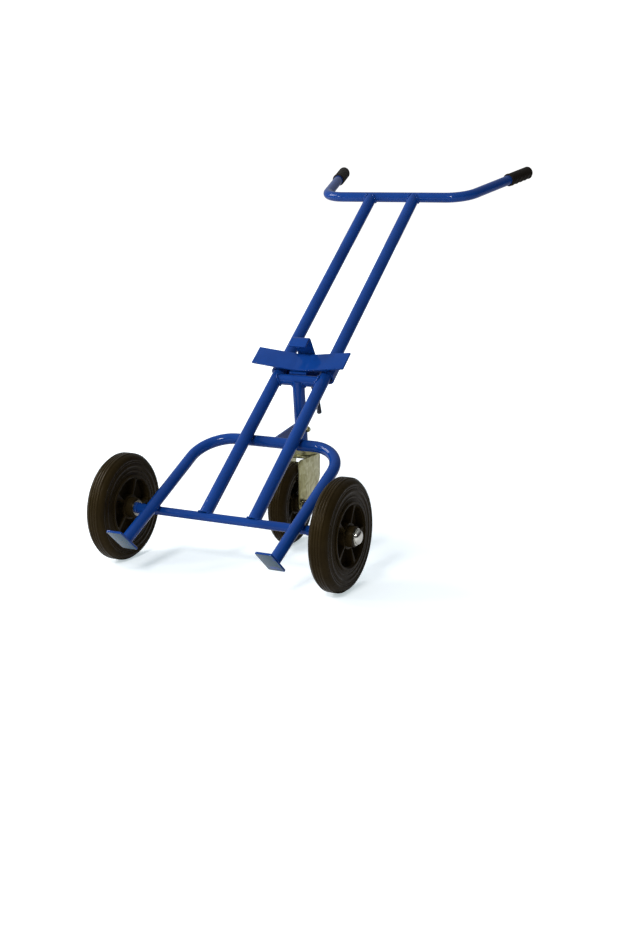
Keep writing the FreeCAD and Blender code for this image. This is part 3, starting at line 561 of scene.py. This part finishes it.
grip = {"length": 102, "radius": 16.5, "collar": 17.5, "collarLong": 4, "endEase": 6, "hollows": 4,
        "firstHollow": 17, "hollowStep": 21, "hollowDeep": 2.3, "ridge": 1.6, "flare": 14.9,
        "armLength": 312, "cornerOut": 206, "ringDeep": 0.22, "ringStep": 2.6, "fineStep": 0.325}


def gripRadius(along, angle):
    fromEnd = grip["length"] - along  # along runs from the mouth to the closed end
    radius = grip["radius"]
    if along < grip["collarLong"] + 1:
        lift = min(1, (grip["collarLong"] + 1 - along) / 1.2, along / 1.0 + 0.35)
        radius += (grip["collar"] - grip["radius"]) * max(lift, 0)
    if fromEnd < grip["endEase"]:
        dip = grip["endEase"] - fromEnd
        radius -= grip["endEase"] - math.sqrt(max(grip["endEase"] ** 2 - dip ** 2, 0))
    under = max(0.0, -math.cos(angle))  # the palm side is up, the fingers go below
    turns = (fromEnd - grip["firstHollow"]) / grip["hollowStep"]
    if -0.5 < turns < grip["hollows"] - 0.5:
        wave = math.cos(2 * math.pi * turns)
        radius -= (grip["hollowDeep"] * max(wave, 0) + grip["ridge"] * min(wave, 0)) * under ** 0.6
    if grip["collarLong"] + 3 < along < grip["length"] - 9:
        radius -= grip["ringDeep"] * max(0.0, math.cos(2 * math.pi * along / grip["ringStep"])) ** 3
    return max(radius, 0.2)


gripStations = [0, 0.3, 0.8]
fineCount = int((grip["length"] - 8.5) / grip["fineStep"])
gripStations += [1.3 + grip["fineStep"] * step for step in range(fineCount)]
gripStations += [grip["length"] - dip for dip in (7, 6, 5.2, 4.4, 3.6, 2.8, 2, 1.4, 0.9, 0.5, 0.2, 0.05, 0)]
for side, sign in (("left", -1), ("right", 1)):
    flare = math.radians(grip["flare"])
    way = Vector((sign * math.sin(flare), math.cos(flare), 0))
    tip = Vector((sign * grip["cornerOut"], 0, 0)) + way * grip["armLength"]
    up = Vector((0, 0, 1))
    aside = way.cross(up)
    mouth = (tip - way * grip["length"]) * mm
    seat = Matrix(((way.x, up.x, aside.x, mouth.x), (way.y, up.y, aside.y, mouth.y),
                   (way.z, up.z, aside.z, mouth.z), (0, 0, 0, 1)))
    shape = wrapped(gripStations, gripRadius, handleFrame @ seat, 72)
    makePiece(side + "GripMoulding", shape, "grip_rubber", "frame", [side + "_grip"], 60)
print("grips moulded")


# saddle and chime hook: flat bar with eased edges

saddle = {"end": 124, "flat": 15, "deep": 22.5, "slope": 8.3, "level": 476, "height": 54, "sheet": 5,
          "bend": 60, "ease": 1.3}
endDeep = saddle["deep"] + (saddle["end"] - saddle["flat"]) * math.tan(math.radians(saddle["slope"]))
corners = [Vector((-saddle["end"], -endDeep, saddle["level"])),
           Vector((-saddle["flat"], -saddle["deep"], saddle["level"])),
           Vector((saddle["flat"], -saddle["deep"], saddle["level"])),
           Vector((saddle["end"], -endDeep, saddle["level"]))]
shape = flatBar(bendLine(corners, saddle["bend"], 8), Vector((0, 0, 1)), saddle["height"], saddle["sheet"],
                saddle["ease"])
makePiece("saddleFlatBar", placed(shape, uprightFrame), "blue_paint", "carriage", ["saddle_bar"], 50)

hook = {"legDeep": 13, "foot": 445.9, "arm": 511, "rise": 4, "reach": 71, "lip": 31, "lipLean": 7, "bend": 7,
        "width": 46, "offset": -4, "sheet": 5, "ease": 1.2}
climb = (hook["reach"] - hook["legDeep"]) * math.tan(math.radians(hook["rise"]))
nose = Vector((hook["offset"], -hook["reach"], hook["arm"] + climb))
lipWay = Vector((0, math.sin(math.radians(hook["lipLean"])), -math.cos(math.radians(hook["lipLean"]))))
corners = [Vector((hook["offset"], -hook["legDeep"], hook["foot"])),
           Vector((hook["offset"], -hook["legDeep"], hook["arm"])), nose, nose + lipWay * hook["lip"]]
shape = flatBar(bendLine(corners, hook["bend"], 10), Vector((1, 0, 0)), hook["width"], hook["sheet"],
                hook["ease"])
makePiece("chimeHookBar", placed(shape, uprightFrame), "blue_paint", "carriage", ["chime_hook"], 50)
print("saddle and hook bent")


# foot plates: sheared plate with rounded corners

footPlate = {"wide": 40, "long": 80, "thick": 5, "corner": 4, "ease": 0.9}
soleWay = Matrix.Rotation(math.radians(-places["plateTilt"]), 3, "X") @ Vector((0, 0, -1))
# the soles face the floor and the front; their paler patches are wear and a painted reflection of the bright
# floor
wearAndReflectionPaint = paintFinish("wearAndReflectionPaint", {"toward": soleWay, "patches": 34, "grain": 260,
                                      "dark": (0.006, 0.05, 0.092), "pale": (0.026, 0.085, 0.13)})
for side in ("left", "right"):
    wide, long = footPlate["wide"] / 2, footPlate["long"] / 2
    outline = eased([(-wide, -long), (wide, -long), (wide, long), (-wide, long)], footPlate["corner"], 5)
    sheet = cutSheet([[tuple(point) for point in outline]], footPlate["thick"], footPlate["ease"])
    tilt = Matrix.Rotation(math.radians(-places["plateTilt"]), 4, "X")
    place = Matrix.Translation(middleOf(side + "_foot_plate")) @ tilt
    makePiece(side + "FootSheet", placed(sheet, place), "blue_paint", "frame", [side + "_foot_plate"], 45,
              wearAndReflectionPaint)
print("foot plates cut")


# castor fork: pressed legs with a crease and a drawn crown

fork = {"gap": 30, "sheet": 4, "front": -82, "back": 35, "foot": 84, "heel": -46, "knee": 142, "crown": 206,
        "crownSheet": 6, "corner": 13, "crease": -57, "creaseTurn": 13, "creaseHalf": 0.7, "ease": 1,
        "bore": 6.2, "reach": 46, "head": 40, "stem": 8.2, "legDrop": 3, "foldOut": 7, "foldIn": 3,
        "foldLap": 3, "crownInset": 2, "crownBack": 6, "crownCorner": 5, "crownEase": 0.8}


def forkLeg(sign):
    top = fork["crown"] + fork["crownSheet"]
    legTop = top - fork["legDrop"]
    outline = eased([(fork["front"], fork["foot"]), (fork["front"], legTop), (fork["back"], legTop),
                     (fork["back"], fork["knee"]), (fork["heel"], fork["foot"])], fork["corner"], 7)
    hole = [(along - places["castorTrail"], high + places["castorRadius"])
            for along, high in circleOutline(fork["bore"], 32)]
    sheet = cutSheet([[tuple(point) for point in outline], hole], fork["sheet"], fork["ease"])
    work = bmesh.new()
    made = [work.verts.new(point) for point in sheet[0]]
    for face in sheet[1]:
        work.faces.new([made[index] for index in face])
    for offset in (-fork["creaseHalf"], fork["creaseHalf"]):
        bmesh.ops.bisect_plane(work, geom=work.verts[:] + work.edges[:] + work.faces[:],
                               plane_co=((fork["crease"] + offset) * mm, 0, 0), plane_no=(1, 0, 0))
    turn = math.tan(math.radians(fork["creaseTurn"]))
    points = []
    work.verts.index_update()
    for vertex in work.verts:
        along, high, deep = vertex.co
        before = max(fork["crease"] * mm - along, 0)
        bend = turn * before
        points.append(Vector((sign * (fork["gap"] * mm + fork["sheet"] / 2 * mm + deep - bend), along, high)))
    faces = [[vertex.index for vertex in face.verts] for face in work.faces]
    work.free()
    return points, faces


# a rounded shoulder where a leg turns into the crown
def forkFold(sign):
    outside, inside, lap = fork["foldOut"], fork["foldIn"], fork["foldLap"]
    top = fork["crown"] + fork["crownSheet"]
    middle = (fork["gap"] + fork["sheet"] - outside, top - outside)
    section = [(middle[0] + outside * math.cos(angle), middle[1] + outside * math.sin(angle))
               for angle in [math.radians(90 * step / 8) for step in range(9)]]
    section += [(middle[0] - lap, top), (middle[0] - lap, top - fork["sheet"])]
    section += [(middle[0] + inside * math.cos(angle), middle[1] + inside * math.sin(angle))
                for angle in [math.radians(90 - 90 * step / 6) for step in range(7)]]
    points, faces = [], []
    ends = (-fork["reach"], fork["back"] - fork["corner"] * 0.5)
    for along in ends:
        points += [Vector((sign * across, along, high)) * mm for across, high in section]
    count = len(section)
    for index in range(count):
        after = (index + 1) % count
        faces.append([index, after, count + after, count + index])
    faces += [list(range(count)), list(range(count, 2 * count))]
    return points, faces


crownHalf, crownEnd = fork["gap"] - fork["crownInset"], fork["back"] - fork["crownBack"]
crownOutline = eased([(-crownHalf, -fork["reach"]), (crownHalf, -fork["reach"]), (crownHalf, crownEnd),
                      (-crownHalf, crownEnd)], fork["crownCorner"], 5)
crown = cutSheet([[tuple(point) for point in crownOutline], circleOutline(fork["stem"], 48)],
                 fork["crownSheet"], fork["crownEase"])
lift = Matrix.Translation((0, 0, (fork["crown"] + fork["crownSheet"] / 2) * mm))
cupOutline = eased([(fork["crown"], fork["stem"]), (fork["crown"], fork["head"]),
                    (fork["crown"] + fork["crownSheet"] - 1.6, fork["head"]),
                    (fork["crown"] + fork["crownSheet"] - 0.6, fork["head"] - 2.5),
                    (fork["crown"] + fork["crownSheet"] - 0.6, fork["stem"])], 1, 3)
standUp = Matrix.Rotation(math.radians(-90), 4, "Y")
cupPart = turned(cupOutline, standUp, 96)
legs = [forkLeg(sign) for sign in (-1, 1)]
folds = [forkFold(sign) for sign in (-1, 1)]
forkShape = joined(*legs, *folds, placed(crown, lift), cupPart)
makePiece("castorForkPressing", placed(forkShape, castorFrame), "yellow_zinc", "castor_swivel",
          ["castor_fork"], 32)
print("castor fork pressed")


# nuts: six sides with turned chamfers and a bore

def nutShape(flats, high, bore, place):
    stations = [0, 0.0001, 0.4, 0.9, high - 0.9, high - 0.4, high - 0.0001, high]

    def radiusAt(along, angle):
        side = (angle % (math.pi / 3)) - math.pi / 6
        radius = flats / 2 / math.cos(side)
        edge = min(along, high - along)
        if edge <= 0 or edge >= high:
            return bore
        chamfer = flats / 2 * 0.97 + edge * 1.9
        return min(radius, chamfer)
    inner = wrapped([0, high], lambda along, angle: bore, place, 72, False)
    return joined(wrapped(stations, radiusAt, place, 72, False), inner)


# a bolt end with a fine thread
def threadShape(radius, pitch, long, place, start=0.0):
    deep = pitch * 0.5

    def radiusAt(along, angle):
        phase = (along / pitch + angle / (2 * math.pi)) % 1
        wave = abs(2 * phase - 1)
        taper = min(1, (start + long - along) / (pitch * 0.9) + 0.25)
        return radius - deep * (1 - wave) - (1 - taper) * deep
    count = int(long / pitch * 12)
    return wrapped([start + long * step / count for step in range(count + 1)], radiusAt, place, 48, True)


# millimetres; thread is the bolt's radius and start is where its thread begins above the nut's foot
axleNut = {"flats": 19, "high": 10, "bore": 6, "thread": 6.1, "pitch": 1.75, "long": 3.2, "start": 9.8}
crossNut = {"flats": 13, "high": 6.5, "bore": 4, "thread": 4.1, "pitch": 1.25, "long": 3.1, "start": 6.3}
clampNut = {"flats": 19, "high": 10, "bore": 6.1, "thread": 6.2, "pitch": 1.75, "long": 38, "start": 11.2}


def nutPiece(name, size, place, slotName, body, stands):
    shape = nutShape(size["flats"], size["high"], size["bore"], place)
    makePiece(name, shape, slotName, body, [stands], 30)


def threadPiece(name, size, place, slotName, body):
    shape = threadShape(size["thread"], size["pitch"], size["long"], place, size["start"])
    makePiece(name, shape, slotName, body)


nutStart = castorAxle @ Matrix.Translation(((fork["gap"] + fork["sheet"]) * mm, 0, 0))
nutPiece("castorAxleNutTurned", axleNut, nutStart, "bright_zinc", "castor_swivel", "castor_axle_nut")
threadPiece("castorAxleThread", axleNut, nutStart, "bright_zinc", "castor_swivel")
low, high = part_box("castor_cross_nut")
crossStart = Matrix.Translation((low.x, (low.y + high.y) / 2, (low.z + high.z) / 2))
nutPiece("crossNutTurned", crossNut, crossStart, "yellow_zinc", "frame", "castor_cross_nut")
threadPiece("crossBoltThread", crossNut, crossStart, "yellow_zinc", "frame")
middle = uprightFrame.inverted() @ middleOf("clamp_nut")
alongBack = uprightFrame @ Matrix.Translation(middle) @ Matrix.Rotation(math.radians(90), 4, "Z")
clampStart = alongBack @ Matrix.Translation((-clampNut["high"] / 2 * mm, 0, 0))
nutPiece("clampNutTurned", clampNut, clampStart, "bright_zinc", "carriage", "clamp_nut")
threadPiece("clampThread", clampNut, clampStart, "dark_steel", "clamp_screw")
print("nuts and threads turned")


# weld beads along the joints of the tubes

weld = {"bead": 2.3, "thinBead": 1.9, "sunk": 0.45, "step": 0.85, "wave": 0.32, "waveStep": 3.4,
        "wobble": 0.35, "saddleBead": 1.7, "saddleHalf": 30, "saddleDeep": 19.9,
        "saddleLevels": (456.8, 500.2), "hookBead": 1.8, "hookFrom": -26, "hookTo": 18, "hookDeep": 15.6,
        "hookLevel": 500.2}


# the line that a ball of the bead's size rolls along between two round tubes
def rollLine(firstAt, firstWay, firstRadius, secondAt, secondWay, secondRadius, side, bead):
    firstWay, secondWay = firstWay.normalized(), secondWay.normalized()
    across = firstWay.orthogonal().normalized()
    aside = firstWay.cross(across)
    near, far = [], []
    steps = 120
    for step in range(steps):
        angle = 2 * math.pi * step / steps
        outward = across * math.cos(angle) + aside * math.sin(angle)
        edge = firstAt + outward * (firstRadius + bead * weld["sunk"])
        gap = edge - secondAt
        flatWay = firstWay - secondWay * firstWay.dot(secondWay)
        flatGap = gap - secondWay * gap.dot(secondWay)
        square, slope = flatWay.length_squared, 2 * flatWay.dot(flatGap)
        apart = flatGap.length_squared - (secondRadius + bead * weld["sunk"]) ** 2
        inside = slope * slope - 4 * square * apart
        if inside < 0:
            near.append(None)
            far.append(None)
            continue
        root = math.sqrt(inside)
        near.append(edge + firstWay * ((-slope - root) / (2 * square)))
        far.append(edge + firstWay * ((-slope + root) / (2 * square)))
    if None not in near:
        return [(near if side < 0 else far, True)]
    first = next(index for index in range(steps) if near[index] is None)
    order = [(first + index) % steps for index in range(steps)]
    runs, run = [], []
    for index in order + [first]:
        if near[index] is None:
            if len(run) > 3:
                runs.append(run)
            run = []
        else:
            run.append(index)
    if side == 0:
        return [([near[index] for index in run] + [far[index] for index in reversed(run)], True)
                for run in runs]
    return [([(near if side < 0 else far)[index] for index in run], False) for run in runs]


# even steps along a line
def evenly(line, closed, step):
    points = line + [line[0]] if closed else line
    lengths = [0.0]
    for here, there in zip(points, points[1:]):
        lengths.append(lengths[-1] + (there - here).length)
    count = max(int(lengths[-1] / step), 6)
    result, index = [], 0
    for number in range(count if closed else count + 1):
        want = lengths[-1] * number / count
        while index < len(lengths) - 2 and lengths[index + 1] < want:
            index += 1
        part = (want - lengths[index]) / max(lengths[index + 1] - lengths[index], 1e-9)
        result.append(points[index].lerp(points[index + 1], part))
    return result


def beadShape(line, closed, bead, seed):
    line = evenly(line, closed, weld["step"] * mm)
    points, faces = [], []
    count, around = len(line), 10
    last = None
    for index, here in enumerate(line):
        there = line[(index + 1) % count] if closed or index + 1 < count else here
        back = line[index - 1] if closed or index else here
        way = (there - back).normalized()
        if last is None:
            last = way.orthogonal().normalized()
        across = (last - way * last.dot(way)).normalized()
        last = across
        aside = way.cross(across)
        travel = index * weld["step"]
        grow = 1 + weld["wave"] * 0.5 * math.sin(2 * math.pi * travel / weld["waveStep"])
        grow += weld["wobble"] * 0.5 * noise.noise(Vector((travel * 0.11, seed * 3.7, 0.3)))
        if not closed:
            grow *= min(1, 0.25 + min(index, count - 1 - index) / 5)
        for step in range(around):
            angle = 2 * math.pi * step / around
            points.append(here + (across * math.cos(angle) + aside * math.sin(angle)) * bead * mm * grow)
    rows = count if closed else count - 1
    for row in range(rows):
        after = (row + 1) % count
        for step in range(around):
            beside = (step + 1) % around
            faces.append([row * around + step, row * around + beside, after * around + beside,
                          after * around + step])
    if not closed:
        faces += [list(range(around)), list(range(len(points) - around, len(points)))]
    return points, faces


def tubeWeld(first, second, side, bead=None):
    bead = bead or weld["bead"]
    lines = rollLine(*first, *second, side, bead * mm)
    return [beadShape(line, closed, bead, number + side) for number, (line, closed) in enumerate(lines)]


def straightWeld(start, end, bead=None):
    return beadShape([start.lerp(end, step / 40) for step in range(41)], False, bead or weld["bead"],
                     start.x * 50)


tubes = {"upright": 15, "spacing": 63, "cross": 13.5, "crossAt": 437, "handle": 13.3, "axle": 10,
         "loop": 13.3, "loopOut": 186, "loopLift": -23.3, "post": 15, "postFoot": 236, "postOffset": 5}


def inUpright(across, back, along):
    return uprightFrame @ (Vector((across, back, along)) * mm)


alongUpright = uprightFrame.to_3x3() @ Vector((0, 0, 1))
alongLoop = loopFrame.to_3x3() @ Vector((0, 0, 1))
sideways = Vector((1, 0, 0))
spreadAngle = math.radians(places["loopLean"] - places["uprightLean"])
clearOf = tubes["upright"] + tubes["loop"] - tubes["loopLift"] * math.cos(spreadAngle)
loopReach = clearOf / math.sin(spreadAngle)
loopCross = loopFrame @ (Vector((0, tubes["loopLift"], loopReach)) * mm)
crossMiddle = inUpright(0, 0, tubes["crossAt"])
frameWelds, carriageWelds = [], []
for sign in (-1, 1):
    upright = (inUpright(sign * tubes["spacing"], 0, 0), alongUpright, tubes["upright"] * mm)
    frameWelds += tubeWeld((crossMiddle, sideways, tubes["cross"] * mm), upright, -sign)
    bar = (handleFrame.translation.copy(), sideways, tubes["handle"] * mm)
    frameWelds += tubeWeld((inUpright(sign * tubes["spacing"], 0, places["uprightLength"]), alongUpright,
                            tubes["upright"] * mm), bar, -1)
    axle = (axleMiddle, sideways, tubes["axle"] * mm)
    frameWelds += tubeWeld(upright, axle, 1)
    leg = (loopFrame @ (Vector((sign * tubes["loopOut"], tubes["loopLift"], 0)) * mm), alongLoop,
           tubes["loop"] * mm)
    frameWelds += tubeWeld(leg, axle, 0, weld["thinBead"])
    frameWelds += tubeWeld(upright, (loopCross, sideways, tubes["loop"] * mm), 0, weld["thinBead"])
postFoot = Vector((0, swivelMiddle.y, tubes["postFoot"] * mm))
postTop = Vector((0, crossMiddle.y - tubes["postOffset"] * mm, crossMiddle.z))
frameWelds += tubeWeld((postFoot, postTop - postFoot, tubes["post"] * mm),
                       (crossMiddle, sideways, tubes["cross"] * mm), -1)
makePiece("frameWeldBeads", joined(*frameWelds), "blue_paint", "frame", (), 60)
for level in weld["saddleLevels"]:
    start, end = (inUpright(sign * weld["saddleHalf"], -weld["saddleDeep"], level) for sign in (-1, 1))
    carriageWelds.append(straightWeld(start, end, weld["saddleBead"]))
start, end = (inUpright(weld[key], -weld["hookDeep"], weld["hookLevel"]) for key in ("hookFrom", "hookTo"))
carriageWelds.append(straightWeld(start, end, weld["hookBead"]))
makePiece("carriageWeldBeads", joined(*carriageWelds), "blue_paint", "carriage", (), 60)
print("welds laid,", len(frameWelds) + len(carriageWelds), "beads")


# floor, light and camera

floorLook = {"radius": 14, "tint": (0.9, 0.9, 0.92), "glowTint": (0.86, 0.97, 1.0), "glow": (0.52, 1.2),
             "near": 0.8, "far": 2.4, "drop": 0.0003, "rough": 0.9, "sheen": 0.1}
floorMesh = bpy.data.meshes.new("studioFloor")
work = bmesh.new()
bmesh.ops.create_circle(work, cap_ends=True, segments=96, radius=floorLook["radius"])
work.to_mesh(floorMesh)
work.free()
studioFloor = bpy.data.objects.new("studioFloor", floorMesh)
scene.collection.objects.link(studioFloor)
studioFloor.location = (0, 0, -floorLook["drop"])
paper = bpy.data.materials.new("studioPaper")
paper.use_nodes = True
paperShader = paper.node_tree.nodes["Principled BSDF"]
paperShader.inputs["Base Color"].default_value = (*floorLook["tint"], 1)
paperShader.inputs["Roughness"].default_value = floorLook["rough"]
paperShader.inputs["Specular IOR Level"].default_value = floorLook["sheen"]
paperShader.inputs["Emission Color"].default_value = (*floorLook["glowTint"], 1)
paperCoords = paper.node_tree.nodes.new("ShaderNodeTexCoord")
away = paper.node_tree.nodes.new("ShaderNodeVectorMath")
away.operation = "LENGTH"
paper.node_tree.links.new(paperCoords.outputs["Object"], away.inputs[0])
sweep = paper.node_tree.nodes.new("ShaderNodeMapRange")
sweep.interpolation_type = "SMOOTHSTEP"
sweep.inputs["From Min"].default_value = floorLook["near"]
sweep.inputs["From Max"].default_value = floorLook["far"]
sweep.inputs["To Min"].default_value = floorLook["glow"][0]
sweep.inputs["To Max"].default_value = floorLook["glow"][1]
paper.node_tree.links.new(away.outputs["Value"], sweep.inputs["Value"])
pictureRay = paper.node_tree.nodes.new("ShaderNodeLightPath")
glowOnly = paper.node_tree.nodes.new("ShaderNodeMath")
glowOnly.operation = "MULTIPLY"
paper.node_tree.links.new(sweep.outputs["Result"], glowOnly.inputs[0])
paper.node_tree.links.new(pictureRay.outputs["Is Camera Ray"], glowOnly.inputs[1])
paper.node_tree.links.new(glowOnly.outputs["Value"], paperShader.inputs["Emission Strength"])
floorMesh.materials.append(paper)

roomLook = {"dark": (0.045, 0.04, 0.045), "bright": (0.46, 0.485, 0.51), "toward": (-0.6, 0.0, 0.8),
            "fall": (-0.45, 0.9), "backdrop": 1.1}
room = bpy.data.worlds.new("studioRoom")
scene.world = room
room.use_nodes = True
roomTree = room.node_tree
background = roomTree.nodes["Background"]
roomCoords = roomTree.nodes.new("ShaderNodeTexCoord")
facing = roomTree.nodes.new("ShaderNodeVectorMath")
facing.operation = "DOT_PRODUCT"
facing.inputs[1].default_value = Vector(roomLook["toward"]).normalized()
roomTree.links.new(roomCoords.outputs["Generated"], facing.inputs[0])
fall = roomTree.nodes.new("ShaderNodeMapRange")
fall.interpolation_type = "SMOOTHSTEP"
fall.inputs["From Min"].default_value = roomLook["fall"][0]
fall.inputs["From Max"].default_value = roomLook["fall"][1]
roomTree.links.new(facing.outputs["Value"], fall.inputs["Value"])
shade = roomTree.nodes.new("ShaderNodeMix")
shade.data_type = "RGBA"
shade.inputs["A"].default_value = (*roomLook["dark"], 1)
shade.inputs["B"].default_value = (*roomLook["bright"], 1)
roomTree.links.new(fall.outputs["Result"], shade.inputs["Factor"])
roomTree.links.new(shade.outputs["Result"], background.inputs["Color"])
backdrop = roomTree.nodes.new("ShaderNodeBackground")
backdrop.inputs["Color"].default_value = (1, 1, 1, 1)
backdrop.inputs["Strength"].default_value = roomLook["backdrop"]
seen = roomTree.nodes.new("ShaderNodeLightPath")
choose = roomTree.nodes.new("ShaderNodeMixShader")
roomTree.links.new(seen.outputs["Is Camera Ray"], choose.inputs["Fac"])
roomTree.links.new(background.outputs["Background"], choose.inputs[1])
roomTree.links.new(backdrop.outputs["Background"], choose.inputs[2])
roomTree.links.new(choose.outputs["Shader"], roomTree.nodes["World Output"].inputs["Surface"])

lamps = {
    "leftSoftbox": {"at": (-3.3, -1.0, 2.4), "size": 1.8, "power": 92},
    "frontSoftbox": {"at": (0.3, -3.6, 2.9), "size": 0.7, "power": 72},
    "lowLamp": {"at": (-2.2, -2.7, 1.5), "size": 0.4, "power": 16},
}
lampAim = Vector((0, -0.1, 0.4))
for lampName, look in lamps.items():
    lamp = bpy.data.lights.new(lampName, "AREA")
    lamp.shape = "SQUARE"
    lamp.size = look["size"]
    lamp.energy = look["power"]
    holder = bpy.data.objects.new(lampName, lamp)
    scene.collection.objects.link(holder)
    holder.location = look["at"]
    holder.rotation_euler = (lampAim - holder.location).to_track_quat("-Z", "Y").to_euler()

shot = {"azimuth": 26.655, "elevation": 12.866, "lens": 49.384, "sensor": 36,
        "at": (1.437817, -2.421811, 0.871645)}
camera = bpy.data.cameras.new("photoCamera")
camera.lens = shot["lens"]
camera.sensor_width = shot["sensor"]
tripod = bpy.data.objects.new("photoCamera", camera)
scene.collection.objects.link(tripod)
turnRound, tipUp = math.radians(shot["azimuth"]), math.radians(shot["elevation"])
backward = Vector((math.sin(turnRound) * math.cos(tipUp), -math.cos(turnRound) * math.cos(tipUp),
                   math.sin(tipUp)))
tripod.location = Vector(shot["at"]) + Vector((0, axleMiddle.y, 0))
tripod.rotation_euler = (-backward).to_track_quat("-Z", "Y").to_euler()
scene.camera = tripod
scene.view_settings.view_transform = "Standard"
scene.view_settings.look = "None"
print("studio set")
